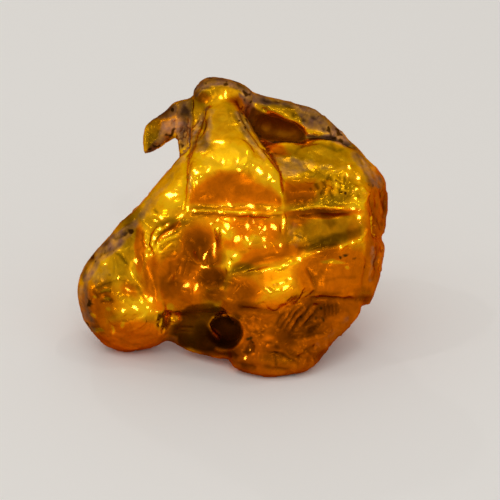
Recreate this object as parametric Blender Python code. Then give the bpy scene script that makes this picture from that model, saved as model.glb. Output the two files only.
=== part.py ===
"""A gold nugget: one water-worn piece of native gold, lying on its underside.

The nugget is laid out on its broad face: x to the right, y up the face and z out
of it, in millimetres. Every swelling is a lump, the tight skin round a few balls,
so it has flat worn facets between rounded ridges. The lumps are fused, hollows are
scooped out of them, and the whole is leaned back until it lies on three low points,
which what it lay on has rubbed flat.
"""

import math

import bmesh
import bpy
from mathutils import Matrix, Vector, noise

MM = 0.001

# Driving dimensions: the finished width, how far it leans back, and how far the
# layout's centre lies above what it rests on.
WIDTH = 32.0 * MM
LEAN = math.radians(25)
BASE_DROP = 13.45 * MM

# How far apart two lumps may be and still close up, and the waviness of the skin.
SEAM = 0.45 * MM
WAVE_LENGTH = 3.2 * MM
WAVE_DEPTH = 0.2 * MM
WAVE_OCTAVES = 2

# Fineness of the fused skin and of the finished solid.
GRAIN = 0.22 * MM
SKIN_SMOOTHING = 10
BALL_DETAIL = 3
TRIANGLES = 9000

GOLD = (0.95, 0.55, 0.12, 1.0)
GOLD_ROUGHNESS = 0.12

# Each ball is (x, y, z, radius) on the broad face, in millimetres.
LUMPS = {
    # The body that all the rest swells out of.
    "core": [
        (0.0, 4.0, -2.4, 4.0), (0.5, -3.0, -2.0, 4.0), (4.0, -6.5, -2.6, 4.0),
        (-4.5, -0.5, -4.4, 4.0), (-4.0, -5.0, -4.0, 4.0), (6.0, 1.5, -4.0, 4.0),
        (9.2, -3.5, -4.6, 4.0), (5.0, -8.5, -3.5, 3.4),
    ],
    "nape": [
        (0.0, 6.5, -6.8, 3.0), (4.6, 9.0, -10.0, 2.6), (8.0, 6.0, -9.4, 3.5),
        (-1.5, 10.5, -7.4, 2.2),
    ],
    # The blunt crown at the top, and the spine that runs down from it.
    "crown": [
        (-2.3, 13.4, -4.6, 2.0), (-0.2, 13.8, -5.0, 1.4), (0.5, 13.5, -5.2, 1.3),
        (-1.0, 11.5, -5.5, 2.0),
    ],
    "spine": [
        (-1.8, 12.6, -3.2, 0.9), (-0.8, 12.6, -3.3, 0.9), (-2.1, 9.2, -0.8, 0.9),
        (-0.3, 9.2, -0.8, 0.9), (-3.6, 6.6, 0.2, 0.8), (-0.9, 6.9, 1.4, 0.9), (0.9, 6.9, 1.3, 0.9),
        (1.9, 8.2, -0.9, 0.8), (-0.8, 9.0, -6.0, 2.5),
    ],
    "brow": [
        (-3.9, 7.2, -1.2, 0.7), (2.0, 8.3, -1.5, 0.8), (-3.7, 5.4, 1.2, 0.9), (-0.6, 6.6, 1.9, 0.9),
        (1.4, 6.4, 1.9, 0.9), (3.7, 5.2, 1.5, 0.9), (-3.9, 2.6, 1.1, 0.8), (3.9, 2.6, 1.6, 0.9),
        (0.3, 2.5, 1.8, 0.9), (0.4, 4.4, 2.3, 0.9), (0.0, 6.0, -6.0, 3.0),
    ],
    "side_rib": [
        (-4.2, 12.2, -5.4, 0.5), (-4.1, 8.6, -2.4, 0.5), (-3.5, 10.6, -4.2, 0.6),
        (-3.0, 9.5, -6.5, 1.5),
    ],
    # The ear that hooks down behind the spine, and the thin strand under it.
    "ear": [
        (-9.4, 7.6, -7.5, 0.3), (-8.3, 10.2, -7.2, 1.1), (-8.8, 8.8, -7.3, 0.6),
        (-6.8, 10.7, -6.8, 1.4),
    ],
    "ear_root": [
        (-6.8, 10.7, -6.8, 1.4), (-5.5, 11.8, -6.4, 1.5), (-4.2, 12.0, -5.8, 1.5),
    ],
    "strand": [
        (-5.8, 10.0, -6.2, 0.4), (-5.5, 7.8, -4.8, 0.4), (-4.6, 8.6, -5.0, 0.8),
    ],
    # The flat shoulder on the left, and the arm that ends in the round lobe.
    "shoulder": [
        (-5.0, 7.2, -2.6, 0.5), (-5.4, 2.5, 0.3, 0.7), (-7.0, 0.9, -0.3, 0.7),
        (-8.8, 1.4, -2.6, 1.24), (-7.0, 4.7, -3.2, 0.68), (-5.5, 4.0, -6.0, 2.0),
    ],
    "arm": [
        (-9.9, -1.2, -3.4, 2.6), (-9.0, 0.8, -3.2, 1.6), (-7.5, -3.0, -4.0, 2.5),
    ],
    "lobe": [
        (-12.6, -6.2, -4.6, 3.6), (-12.9, -8.2, -4.8, 2.9), (-12.0, -9.3, -4.8, 2.85),
        (-10.8, -10.1, -4.8, 2.5), (-9.0, -9.6, -4.6, 2.6), (-10.8, -7.2, -1.6, 1.6),
        (-9.0, -7.5, -1.8, 1.4), (-11.9, -2.8, -1.6, 0.7), (-10.4, -4.8, -0.5, 0.7),
        (-9.9, -1.2, -3.4, 2.6), (-10.6, -6.5, -7.2, 2.2),
    ],
    # The fluted left flank below the shoulder.
    "fan": [
        (-8.0, -1.0, -0.6, 0.7), (-5.6, -0.1, 0.8, 0.8), (-5.8, -2.6, 0.8, 0.8),
        (-7.4, -3.0, 0.0, 0.8), (-6.0, -2.0, -4.0, 2.0),
    ],
    "saddle": [
        (-4.6, 0.0, 0.4, 0.8), (-1.5, -1.5, 1.2, 1.2), (-1.8, -4.2, 0.9, 1.0),
        (-5.2, -2.8, 0.4, 0.8), (-3.5, -2.0, -3.0, 1.5),
    ],
    "flute": [
        (-8.2, -1.6, -1.5, 0.9), (-8.1, -4.0, -1.6, 1.1), (-7.7, -7.4, -2.4, 1.4),
        (-7.0, -4.0, -4.0, 2.0),
    ],
    "flank": [
        (-6.8, -4.2, -0.6, 0.9), (-4.0, -3.2, 0.4, 1.2), (-1.6, -4.6, 0.8, 1.2),
        (-2.6, -7.2, 0.4, 1.0), (-6.4, -7.6, -1.2, 0.9), (-5.0, -6.0, 0.2, 1.2),
        (-4.0, -5.0, -5.0, 3.0),
    ],
    # Three rolls stacked down the middle of the face.
    "middle_roll": [
        (-4.2, 0.9, 1.0, 0.8), (0.3, 1.1, 2.3, 0.9), (3.9, 0.9, 1.9, 0.9), (4.0, -1.8, 2.1, 0.8),
        (1.0, -0.2, 2.7, 1.2), (-0.2, -2.9, 2.1, 0.9), (-1.4, -0.6, 1.8, 0.8),
        (0.0, -0.5, -4.0, 3.0),
    ],
    "lower_roll": [
        (-0.4, -4.7, 1.4, 0.6), (2.6, -4.3, 2.6, 0.7), (6.2, -3.2, 2.0, 0.7),
        (5.6, -5.8, 2.8, 0.8), (3.2, -6.2, 3.0, 1.0), (1.0, -7.0, 2.0, 0.9),
        (4.0, -7.4, 1.9, 0.8), (7.4, -5.8, 1.4, 0.6), (3.0, -6.0, -3.0, 2.5),
    ],
    "lower_bead": [
        (-0.4, -6.6, 1.0, 1.3), (0.4, -8.4, 0.4, 1.2), (0.0, -7.0, -2.0, 1.5),
    ],
    # The right side: a rim over a pocket, two broad facets, and the tip.
    "rim": [
        (0.6, 13.1, -6.2, 1.2), (2.8, 12.6, -6.3, 0.9), (5.6, 11.7, -6.7, 1.2),
        (7.4, 10.8, -7.0, 1.7), (8.5, 10.1, -7.2, 1.7),
    ],
    "rim_end": [
        (7.4, 10.8, -7.0, 1.7), (8.5, 10.1, -7.2, 1.7), (10.2, 8.3, -7.2, 1.8),
        (11.8, 6.6, -7.2, 1.8), (8.0, 7.0, -9.0, 2.5),
    ],
    "cheek": [
        (5.2, 2.9, 0.5, 0.8), (9.0, 3.0, -0.6, 0.9), (12.4, 3.3, -1.8, 0.9),
        (3.6, 6.4, -2.2, 0.8), (3.0, 7.9, -4.2, 0.7), (5.0, 7.9, -4.2, 0.7),
        (9.6, 8.2, -5.2, 0.7), (11.8, 6.4, -6.2, 1.8), (14.0, 4.4, -6.2, 1.6),
        (8.0, 5.0, -8.0, 3.0),
    ],
    "tip": [
        (14.9, 3.8, -7.2, 1.0), (14.7, 2.4, -6.7, 1.1), (14.2, 0.3, -6.2, 1.3),
        (12.8, 2.0, -3.0, 1.0), (10.0, 2.0, -8.0, 3.0),
    ],
    "knot": [
        (4.4, 2.0, 0.6, 1.1), (5.6, 1.6, -0.2, 1.1), (5.2, -1.0, 0.6, 1.0), (5.0, 0.0, -2.0, 1.5),
    ],
    "leaf": [
        (5.2, 1.2, 0.8, 0.7), (12.8, 1.4, -1.8, 0.8), (13.1, -0.4, -1.6, 0.6),
        (9.5, -1.6, 0.9, 0.6), (5.6, -2.2, 1.6, 0.6), (9.0, 0.0, 0.2, 1.0), (9.0, 0.0, -4.0, 3.0),
    ],
    "jowl": [
        (7.0, -3.6, 1.2, 0.8), (9.5, -2.9, 0.6, 0.8), (13.0, -1.7, -1.9, 0.8),
        (13.8, -2.2, -4.7, 1.55), (13.6, -4.4, -4.7, 1.4), (13.1, -6.1, -4.0, 1.3),
        (10.5, -6.0, -0.4, 0.8), (8.2, -5.8, 0.9, 0.8), (9.0, -4.0, -6.0, 4.0),
    ],
    "ledge": [
        (13.7, -7.3, -3.8, 0.5), (10.6, -6.9, -0.6, 0.45), (7.4, -6.8, 0.6, 0.45),
        (9.0, -7.0, -5.0, 2.0),
    ],
    # The heavy foot at the bottom, and the low strip between it and the lobe.
    "foot": [
        (11.4, -8.2, -2.5, 1.3), (8.0, -11.5, -1.5, 1.35), (6.1, -12.9, -0.8, 1.8),
        (3.0, -13.0, -0.3, 1.85), (1.0, -12.6, -1.0, 1.7), (8.0, -8.0, 0.2, 0.8),
        (4.5, -8.3, 1.4, 0.8), (1.6, -8.5, 1.0, 0.8), (5.2, -11.0, 0.6, 1.0),
        (5.5, -8.0, -5.5, 3.4),
    ],
    "strip": [
        (-6.4, -10.5, -4.6, 0.95), (-3.5, -11.3, -3.4, 1.4), (-1.3, -11.7, -2.2, 1.6),
        (-2.0, -7.5, -6.0, 2.8),
    ],
    # The back and underside.
    "back": [
        (2.0, 5.0, -9.0, 3.5), (8.0, 3.0, -10.0, 4.0), (-2.0, -2.0, -8.0, 4.0),
        (6.0, -5.0, -10.0, 4.5),
    ],
    "back_ridge": [
        (-1.5, 8.5, -8.6, 1.8), (3.0, 7.8, -10.6, 2.0), (8.4, 4.4, -11.8, 2.2),
        (3.0, 3.6, -11.4, 2.4), (-2.4, 4.2, -9.4, 1.8), (4.5, 9.8, -8.9, 1.5),
        (9.0, 7.6, -8.6, 2.2),
    ],
    "back_plate": [
        (4.0, 1.6, -11.6, 2.4), (10.2, 2.0, -11.0, 2.4), (10.6, -2.0, -9.8, 2.4),
        (6.2, -1.4, -12.2, 2.8), (1.8, -1.0, -11.2, 2.2),
    ],
    "back_knuckle": [
        (-4.0, 0.8, -8.6, 2.2), (-5.0, -2.6, -7.4, 2.4), (-1.2, -3.8, -9.8, 2.6),
        (-0.4, 0.6, -10.4, 2.2),
    ],
    "heel": [
        (4.5, -4.8, -12.0, 4.2), (7.5, -4.8, -9.0, 3.5), (0.5, -5.5, -8.0, 3.3),
    ],
}

# Each hollow is (x, y, z, x radius, y radius, z radius), in millimetres.
HOLLOWS = {
    "pocket": (3.3, 10.3, -4.7, 1.8, 1.4, 2.9),
    "pocket_end": (5.4, 9.75, -5.0, 1.8, 1.0, 2.4),
    "saddle_hollow": (-3.2, -1.8, 4.3, 2.4, 3.6, 3.6),
    "saddle_dimple": (-2.1, -5.1, 2.3, 1.6, 1.4, 1.6),
    "foot_hollow": (-1.2, -10.0, -0.4, 2.1, 1.6, 2.6),
    "back_hollow": (-0.5, 1.5, -14.2, 2.6, 1.8, 2.4),
    "back_dimple": (8.5, -3.5, -15.6, 1.8, 2.2, 2.4),
}


def clear_scene():
    for old in list(bpy.data.objects):
        bpy.data.objects.remove(old)


def ball(into, place, radii):
    """Adds a ball, or an egg shape, to a mesh."""
    where = Matrix.LocRotScale(Vector(place) * MM, None, Vector(radii) * MM)
    bmesh.ops.create_icosphere(into, subdivisions=BALL_DETAIL, radius=1.0, matrix=where)


def lump(balls):
    """The tight skin round a few balls, as one closed shape."""
    form = bmesh.new()
    for x, y, z, radius in balls:
        ball(form, (x, y, z), (radius,) * 3)
    bmesh.ops.delete(form, geom=form.edges[:] + form.faces[:], context="EDGES_FACES")
    skin = bmesh.ops.convex_hull(form, input=form.verts)
    spare = set(skin["geom_interior"] + skin["geom_unused"])
    bmesh.ops.delete(form, geom=list(spare), context="VERTS")
    bmesh.ops.recalc_face_normals(form, faces=form.faces)
    return form


def mesh_object(name, form):
    data = bpy.data.meshes.new(name)
    form.to_mesh(data)
    form.free()
    made = bpy.data.objects.new(name, data)
    bpy.context.scene.collection.objects.link(made)
    return made


def lumps_object():
    form = bmesh.new()
    for balls in LUMPS.values():
        skin = lump(balls)
        spare = bpy.data.meshes.new("lump")
        skin.to_mesh(spare)
        skin.free()
        form.from_mesh(spare)
        bpy.data.meshes.remove(spare)
    return mesh_object("nugget", form)


def hollows_object():
    form = bmesh.new()
    for x, y, z, *radii in HOLLOWS.values():
        ball(form, (x, y, z), radii)
    made = mesh_object("hollows", form)
    made.hide_render = True
    made.display_type = "WIRE"
    return made


def weld(thing):
    """Makes overlapping closed shapes into one skin."""
    skin = thing.modifiers.new("weld", "REMESH")
    skin.mode = "VOXEL"
    skin.voxel_size = GRAIN


def swell(thing, depth):
    """Moves the whole skin out by one depth, or in by a negative one."""
    shift = thing.modifiers.new("swell", "DISPLACE")
    shift.mid_level = 0.0
    shift.strength = depth


def fuse(nugget, hollows):
    """Welds the lumps into one skin, scoops the hollows, fills the seams and eases the edges."""
    weld(nugget)
    weld(hollows)
    scoop = nugget.modifiers.new("scoop", "BOOLEAN")
    scoop.operation = "DIFFERENCE"
    scoop.solver = "EXACT"
    scoop.object = hollows
    weld(nugget)
    swell(nugget, SEAM)
    weld(nugget)
    swell(nugget, -SEAM)
    weld(nugget)
    ease = nugget.modifiers.new("ease", "SMOOTH")
    ease.factor = 0.5
    ease.iterations = SKIN_SMOOTHING


def weather(nugget):
    """Gives the skin the gentle waviness that tumbling in gravel leaves."""
    nugget.data.update()
    normals = [v.normal.copy() for v in nugget.data.vertices]
    for vertex, normal in zip(nugget.data.vertices, normals):
        wave = noise.fractal(vertex.co / WAVE_LENGTH, 1.2, 2.0, WAVE_OCTAVES)
        vertex.co += normal * wave * WAVE_DEPTH


def bake(thing):
    """Replaces an object's mesh by what its modifiers make of it."""
    graph = bpy.context.evaluated_depsgraph_get()
    made = bpy.data.meshes.new_from_object(thing.evaluated_get(graph))
    thing.modifiers.clear()
    thing.data = made


def lay_down(nugget):
    """Turns the broad face frame into the resting one, +Z up."""
    stand = Matrix.Rotation(math.radians(90), 4, "X")
    lean = Matrix.Rotation(-LEAN, 4, "X")
    drop = Matrix.Translation((0, 0, BASE_DROP))
    nugget.data.transform(drop @ lean @ stand)


def thin_out(nugget):
    now = sum(len(face.vertices) - 2 for face in nugget.data.polygons)
    thin = nugget.modifiers.new("thin", "DECIMATE")
    thin.ratio = min(1.0, TRIANGLES / now)
    bake(nugget)


def rub_flats(nugget):
    """Cuts the lowest points level, where the nugget lay and wore."""
    form = bmesh.new()
    form.from_mesh(nugget.data)
    cut = bmesh.ops.bisect_plane(
        form,
        geom=list(form.verts) + list(form.edges) + list(form.faces),
        plane_co=(0, 0, 0),
        plane_no=(0, 0, -1),
        clear_outer=True,
    )
    edges = [g for g in cut["geom_cut"] if isinstance(g, bmesh.types.BMEdge)]
    bmesh.ops.holes_fill(form, edges=edges)
    bmesh.ops.recalc_face_normals(form, faces=form.faces)
    form.to_mesh(nugget.data)
    form.free()


def size_and_centre(nugget):
    """Scales the nugget to its width and puts the origin under its middle."""
    xs = [v.co.x for v in nugget.data.vertices]
    ys = [v.co.y for v in nugget.data.vertices]
    middle = Vector(((min(xs) + max(xs)) / 2, (min(ys) + max(ys)) / 2, 0))
    growth = WIDTH / (max(xs) - min(xs))
    nugget.data.transform(Matrix.Scale(growth, 4) @ Matrix.Translation(-middle))


def gold():
    made = bpy.data.materials.new("native_gold")
    made.use_nodes = True
    shader = made.node_tree.nodes["Principled BSDF"]
    shader.inputs["Base Color"].default_value = GOLD
    shader.inputs["Metallic"].default_value = 1.0
    shader.inputs["Roughness"].default_value = GOLD_ROUGHNESS
    return made


def main():
    clear_scene()
    hollows = hollows_object()
    nugget = lumps_object()
    fuse(nugget, hollows)
    bake(nugget)
    bpy.data.objects.remove(hollows)
    weather(nugget)
    lay_down(nugget)
    thin_out(nugget)
    rub_flats(nugget)
    size_and_centre(nugget)
    nugget.data.materials.append(gold())
    nugget.data.shade_smooth()
    return nugget


if __name__ == "__main__":
    main()
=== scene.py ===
# %% [markdown]
# # A gold nugget
# A nugget is a lump of native gold that a river has rolled, folded and polished for
# thousands of years. It has soft facets between rounded ridges, seams where gold was
# folded over gold, and small pits that hold dirt. The solid part has its main forms.
# This lesson gives it a finer skin, the colours of old gold with painted light and shade in
# them, a pale table and light.

# %% The imported part
import math

import bmesh
import bpy
import numpy as np
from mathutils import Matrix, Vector, noise


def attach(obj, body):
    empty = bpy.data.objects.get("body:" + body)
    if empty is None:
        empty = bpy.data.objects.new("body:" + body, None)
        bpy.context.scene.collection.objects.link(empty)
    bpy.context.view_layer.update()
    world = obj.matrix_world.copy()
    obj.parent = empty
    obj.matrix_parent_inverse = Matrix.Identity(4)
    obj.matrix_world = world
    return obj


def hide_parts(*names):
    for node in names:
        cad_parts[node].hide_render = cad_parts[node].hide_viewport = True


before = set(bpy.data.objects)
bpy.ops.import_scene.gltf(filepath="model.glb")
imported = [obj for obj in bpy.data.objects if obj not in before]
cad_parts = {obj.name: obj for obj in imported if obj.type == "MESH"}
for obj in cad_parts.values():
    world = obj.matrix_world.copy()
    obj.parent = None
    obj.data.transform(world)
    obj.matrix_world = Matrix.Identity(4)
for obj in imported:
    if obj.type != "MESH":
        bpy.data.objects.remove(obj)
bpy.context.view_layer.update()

MM = 0.001

# %% [markdown]
# ## Where the eye is
# The nugget is seen from the front and from 25 degrees above. Sculpting is easier in
# the picture than in space, so the eye comes first: the same few values place the
# camera later, and tell here where in a picture of 500 by 500 each point is seen.

# %% The eye
PICTURE = 500
PIXELS_PER_MM = 10
LENS, SENSOR = 150, 36
DISTANCE = PICTURE / PIXELS_PER_MM * LENS / SENSOR
LEAN = math.radians(25)
RIGHT = np.array((1.0, 0.0, 0.0))
UP = np.array((0.0, math.sin(LEAN), math.cos(LEAN)))
OUT = np.array((0.0, -math.cos(LEAN), math.sin(LEAN)))
FACE = np.array((0.165, -4.17, 13.53))
AIM_RIGHT, AIM_DOWN = 1.5, 2.2
AIM = FACE + AIM_RIGHT * RIGHT - AIM_DOWN * UP
EYE = AIM + OUT * DISTANCE
print("the eye is", round(DISTANCE), "mm away")

# %% [markdown]
# ## Where the small lights are
# Polished metal flashes where it mirrors a lamp. The flashes belong on certain ridges
# of the nugget, so the lamps are placed now, and the skin is later tilted a little
# towards them there. Each direction is an azimuth, with 0 behind the eye, and a height.

# %% The small lights
SPARK_REACH = 400.0
SPARK_WAYS = {
    "spark_front_high": (10, 38),
    "spark_front_low": (-28, 4),
    "spark_left_high": (-90, 54),
    "spark_left_low": (-70, 14),
    "spark_right_low": (40, 6),
    "spark_behind": (120, 70),
    "spark_back": (195, 30),
}


def toward(azimuth, elevation):
    """The direction of an azimuth and an elevation in degrees."""
    a, e = math.radians(azimuth), math.radians(elevation)
    return np.array((math.sin(a) * math.cos(e), -math.cos(a) * math.cos(e), math.sin(e)))


SPARKS = {name: FACE + SPARK_REACH * toward(*way) for name, way in SPARK_WAYS.items()}
print(len(SPARKS), "small lights")

# %% [markdown]
# ## The skin
# The solid has only a few thousand large triangles. A copy of it is merged, because
# its triangles are loose, and a voxel remesh spreads small even faces over it. The
# side that is looked at most is divided once more, so that thin seams fit in its
# mesh, and smoothing takes the steps of both out of it.

# %% A copy of the solid with small even faces
SKIN_GRAIN = 0.29
LOOSE_GAP = 0.001


def even_skin(node):
    """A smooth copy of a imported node, with faces of an even size."""
    form = bmesh.new()
    form.from_mesh(node.data)
    bmesh.ops.remove_doubles(form, verts=form.verts, dist=LOOSE_GAP * MM)
    mesh = bpy.data.meshes.new("nugget_skin")
    form.to_mesh(mesh)
    form.free()
    thing = bpy.data.objects.new("nugget_skin", mesh)
    bpy.context.scene.collection.objects.link(thing)
    remesh = thing.modifiers.new("grain", "REMESH")
    remesh.mode = "VOXEL"
    remesh.voxel_size = SKIN_GRAIN * MM
    shaped = thing.evaluated_get(bpy.context.evaluated_depsgraph_get())
    finished = bpy.data.meshes.new_from_object(shaped)
    thing.modifiers.clear()
    thing.data = finished
    bpy.data.meshes.remove(mesh)
    return thing


nugget = even_skin(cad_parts["nugget"])
nugget.data.name = "nugget_skin"
print(len(nugget.data.polygons), "faces all round")

# %% Reading the points of a mesh
def read_points(mesh, what):
    """The places or the directions of a mesh's points, one row for each."""
    flat = np.empty(len(mesh.vertices) * 3, dtype=np.float32)
    mesh.vertices.foreach_get(what, flat)
    return flat.reshape(-1, 3).astype(float)


def write_points(mesh, place):
    mesh.vertices.foreach_set("co", place.astype(np.float32).ravel())
    mesh.update()


def averager(mesh):
    """A function that gives each point of a mesh the mean of its neighbours."""
    count = len(mesh.vertices)
    ends = np.empty(len(mesh.edges) * 2, dtype=np.int32)
    mesh.edges.foreach_get("vertices", ends)
    ends = ends.reshape(-1, 2)
    here, there = np.concatenate([ends, ends[:, ::-1]]).T
    neighbours = np.bincount(here, minlength=count)

    def average(values):
        if values.ndim > 1:
            return np.stack([average(column) for column in values.T], axis=1)
        return np.bincount(here, values[there], count) / neighbours

    return average


# %% Smaller faces on the side that is looked at
FINE_FACING = 0.12
SMOOTH_ROUNDS = 26
SHRINK, SWELL = 0.5, -0.52


def refine(mesh, chosen):
    """Halves the edges of the chosen faces, then smooths all. Smoothing shrinks thin
    parts, so each round also takes a step back."""
    form = bmesh.new()
    form.from_mesh(mesh)
    edges = [edge for edge in form.edges if any(chosen(face) for face in edge.link_faces)]
    bmesh.ops.subdivide_edges(form, edges=edges, cuts=1, use_grid_fill=True)
    form.to_mesh(mesh)
    form.free()
    average = averager(mesh)
    place = read_points(mesh, "co")
    for factor in (SHRINK, SWELL) * SMOOTH_ROUNDS:
        place += factor * (average(place) - place)
    write_points(mesh, place)


refine(nugget.data, lambda face: face.normal.dot(Vector(OUT)) > FINE_FACING)
print(len(nugget.data.polygons), "faces after the finer side")

# %% [markdown]
# ## The clay
# A sculptor drags small tools over clay. Here the clay is the list of the skin's
# points, and a tool moves the points near a path in the picture along their own
# outward directions. Only points that the eye sees are touched, so a seam drawn on
# the front never shows up on the back. A point is hidden when another one in the same
# small cell of the picture is clearly nearer. A little noise bends every path.

# %% Noise in space
SIDEWAYS = 0.37


def noise_at(places, size, shift=0.0):
    """Smooth noise from -1 to 1 at each place, with lumps of a size in millimetres."""
    offset = Vector((shift, shift * SIDEWAYS, -shift))
    return np.array([noise.noise(Vector(p) / size + offset) for p in places])


# %% The clay
HIDDEN_CELL = 3
HIDDEN_GAP = 0.7
FULLY_FACING = 0.3
WARP_SIZE = 1.1
WARP_PIXELS = 1.1


class Clay:
    """The points of a skin, in millimetres, and where the eye sees them."""

    def __init__(self, mesh):
        self.mesh = mesh
        self.read()
        self.warp_x = noise_at(self.place, WARP_SIZE, 3.1) * WARP_PIXELS
        self.warp_y = noise_at(self.place, WARP_SIZE, 7.7) * WARP_PIXELS
        # The tone is painted light and shade, in doublings of the brightness.
        self.tone = np.zeros(len(self.place))
        self.bright = np.zeros(len(self.place))

    def read(self):
        self.place = read_points(self.mesh, "co") / MM
        self.outward = read_points(self.mesh, "normal")
        from_aim = self.place - AIM
        nearer = from_aim @ OUT
        scale = PIXELS_PER_MM * DISTANCE / (DISTANCE - nearer)
        self.px = PICTURE / 2 + from_aim @ RIGHT * scale
        self.py = PICTURE / 2 - from_aim @ UP * scale
        cell = tuple((np.clip(p, 0, PICTURE - 1) // HIDDEN_CELL).astype(int) for p in (self.py, self.px))
        nearest = np.full((PICTURE, PICTURE), -np.inf)
        np.maximum.at(nearest, cell, nearer)
        behind = nearest[cell] - nearer
        facing = np.clip(self.outward @ OUT / FULLY_FACING, 0, 1)
        self.seen = facing * np.clip(2 - behind / HIDDEN_GAP, 0, 1)

    def push(self, amount, chosen=slice(None)):
        """Moves points outwards by so many millimetres."""
        self.place[chosen] += self.outward[chosen] * np.asarray(amount)[:, None]

    def settle(self):
        """Writes the points to the mesh, none below the table, and reads them back."""
        self.place[:, 2] = np.maximum(self.place[:, 2], 0.0)
        write_points(self.mesh, self.place * MM)
        self.read()


clay = Clay(nugget.data)
print(len(clay.place), "points,", int((clay.seen > 0.5).sum()), "of them seen")

# %% [markdown]
# ## Sculpting tools
# Each tool asks how far the points are from a path, an oval or a shape in the picture.
# A stroke also paints the gold darker or paler, mostly darker in furrows and paler on
# crests: painted shade and painted highlight. Its tone counts doublings of the brightness.

# %% Points near a path
def beside(x, y, a, b):
    """How far along the stretch from a to b each place lies, how far off it, and its side."""
    length = math.dist(a, b)
    step = ((b[0] - a[0]) / length, (b[1] - a[1]) / length)
    along = np.clip((x - a[0]) * step[0] + (y - a[1]) * step[1], 0, length)
    off_x, off_y = x - a[0] - along * step[0], y - a[1] - along * step[1]
    return along, np.hypot(off_x, off_y), np.sign(step[0] * off_y - step[1] * off_x)


def near_path(path, reach):
    """Numbers of the seen points within reach of a path, their distance from it in
    millimetres, on which side they lie (-1 left, 1 right) and how far along, 0 to 1."""
    path = np.array(path, float)
    x, y = clay.px + clay.warp_x, clay.py + clay.warp_y
    pixels = reach * PIXELS_PER_MM
    low, high = path.min(0) - pixels, path.max(0) + pixels
    inside = (x > low[0]) & (x < high[0]) & (y > low[1]) & (y < high[1]) & (clay.seen > 0)
    pick = np.flatnonzero(inside)
    x, y = x[pick], y[pick]
    gap, side, way = np.full(len(pick), np.inf), np.zeros(len(pick)), np.zeros(len(pick))
    walked = 0.0
    for a, b in zip(path, path[1:]):
        along, far, this_side = beside(x, y, a, b)
        closer = far < gap
        gap[closer], side[closer], way[closer] = far[closer], this_side[closer], (walked + along)[closer]
        walked += math.dist(a, b)
    return pick, gap / PIXELS_PER_MM, side, way / walked


def fade(way, ends):
    """1 along a stroke, falling to 0 over a share of it at both ends."""
    return np.clip(np.minimum(way, 1 - way) / ends, 0, 1) if ends else 1.0


# %% Ridges, seams, lips and lines
THINNEST = 0.16
CREASE_SHADE_WIDTH = 0.17
EDGE_WIDTH = 0.2
LINE_GAIN = 1.4


def bell(gap, width):
    """1 on a line, falling softly to 0 over a width."""
    return np.exp(-((gap / width) ** 2))


def ridge(path, width, height, tone=0.3, ends=0.2):
    """A rounded ridge, or a furrow where the height is negative, with its tone painted along it: on a
    crest mostly paler, a painted highlight.
    """
    pick, gap, _, way = near_path(path, 3 * width)
    shape = bell(gap, width) * fade(way, ends) * clay.seen[pick]
    clay.push(height * shape, pick)
    clay.tone[pick] += tone * shape


def seam(path, width, depth, tone=-0.7, ends=0.15):
    """A sharp fold line, narrow at the bottom, painted darker along it: painted shade in the crease."""
    pick, gap, _, way = near_path(path, 5 * width)
    strength = fade(way, ends) * clay.seen[pick]
    clay.push(-depth * np.exp(-gap / width) * strength, pick)
    clay.tone[pick] += tone * bell(gap, max(width, CREASE_SHADE_WIDTH)) * strength


def lip(path, edge, fall, height, tone=0.5, ends=0.15):
    """A step: the skin left of the path stands out and dies away over a distance.
    Its upper edge is painted paler and its foot darker: painted highlight and painted shade.
    """
    pick, gap, side, way = near_path(path, 3 * fall)
    strength = fade(way, ends) * clay.seen[pick]
    step = 0.5 * (1 - np.tanh(side * gap / edge))
    clay.push(height * step * bell(gap, fall) * strength, pick)
    upper = -side * np.sign(height)
    clay.tone[pick] += np.where(upper > 0, tone * 0.6, -tone) * bell(gap, EDGE_WIDTH) * strength


def line(path, width, tone, ends=0.15):
    """A thin streak with no height, painted paler as a highlight or painted darker."""
    ridge(path, max(width, THINNEST), 0.0, LINE_GAIN * tone, ends)


# %% Dishes, and shapes painted darker or paler
FIELD_WARP = 1.5
LEVEL = 1e-9
EDGE_ON, EDGE_SHARE = 0.2, 0.4


def across_and_down(x, y, turn):
    """Offsets in the picture, measured along axes that are turned by some degrees."""
    angle = math.radians(turn)
    return x * math.cos(angle) + y * math.sin(angle), y * math.cos(angle) - x * math.sin(angle)


def dish(centre, radii, depth, turn=0.0, tone=0.0):
    """A soft oval dish, or a swelling where the depth is negative, painted darker or paler by its tone:
    painted shade where a dish is darkened.
    """
    across, down = across_and_down(clay.px - centre[0], clay.py - centre[1], turn)
    shape = np.exp(-((across / radii[0]) ** 2 + (down / radii[1]) ** 2)) * clay.seen
    clay.push(-depth * shape)
    clay.tone += tone * shape


def field(corners, soft=3.0):
    """1 inside a shape with these corners in the picture, 0 outside its soft edge."""
    x, y = clay.px + FIELD_WARP * clay.warp_x, clay.py + FIELD_WARP * clay.warp_y
    inside, gap = np.zeros(len(x), bool), np.full(len(x), np.inf)
    for a, b in zip(corners, corners[1:] + corners[:1]):
        rise = (b[1] - a[1]) or LEVEL
        inside ^= ((a[1] > y) != (b[1] > y)) & (x < a[0] + (y - a[1]) / rise * (b[0] - a[0]))
        gap = np.minimum(gap, beside(x, y, a, b)[1])
    facing = np.clip(clay.outward @ OUT / EDGE_ON + EDGE_SHARE, 0, 1)
    return np.clip(0.5 + np.where(inside, gap, -gap) / soft, 0, 1) * facing


def shade_and_stain(corners, tone, soft=3.0):
    """Paints the gold inside a shape paler or darker: painted light and shade, and stains."""
    clay.tone += tone * field(corners, soft)


# %% [markdown]
# The solid is made of large flat faces, and some of their creases still show. They
# are rubbed out inside a few shapes before anything is drawn over them.

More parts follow.
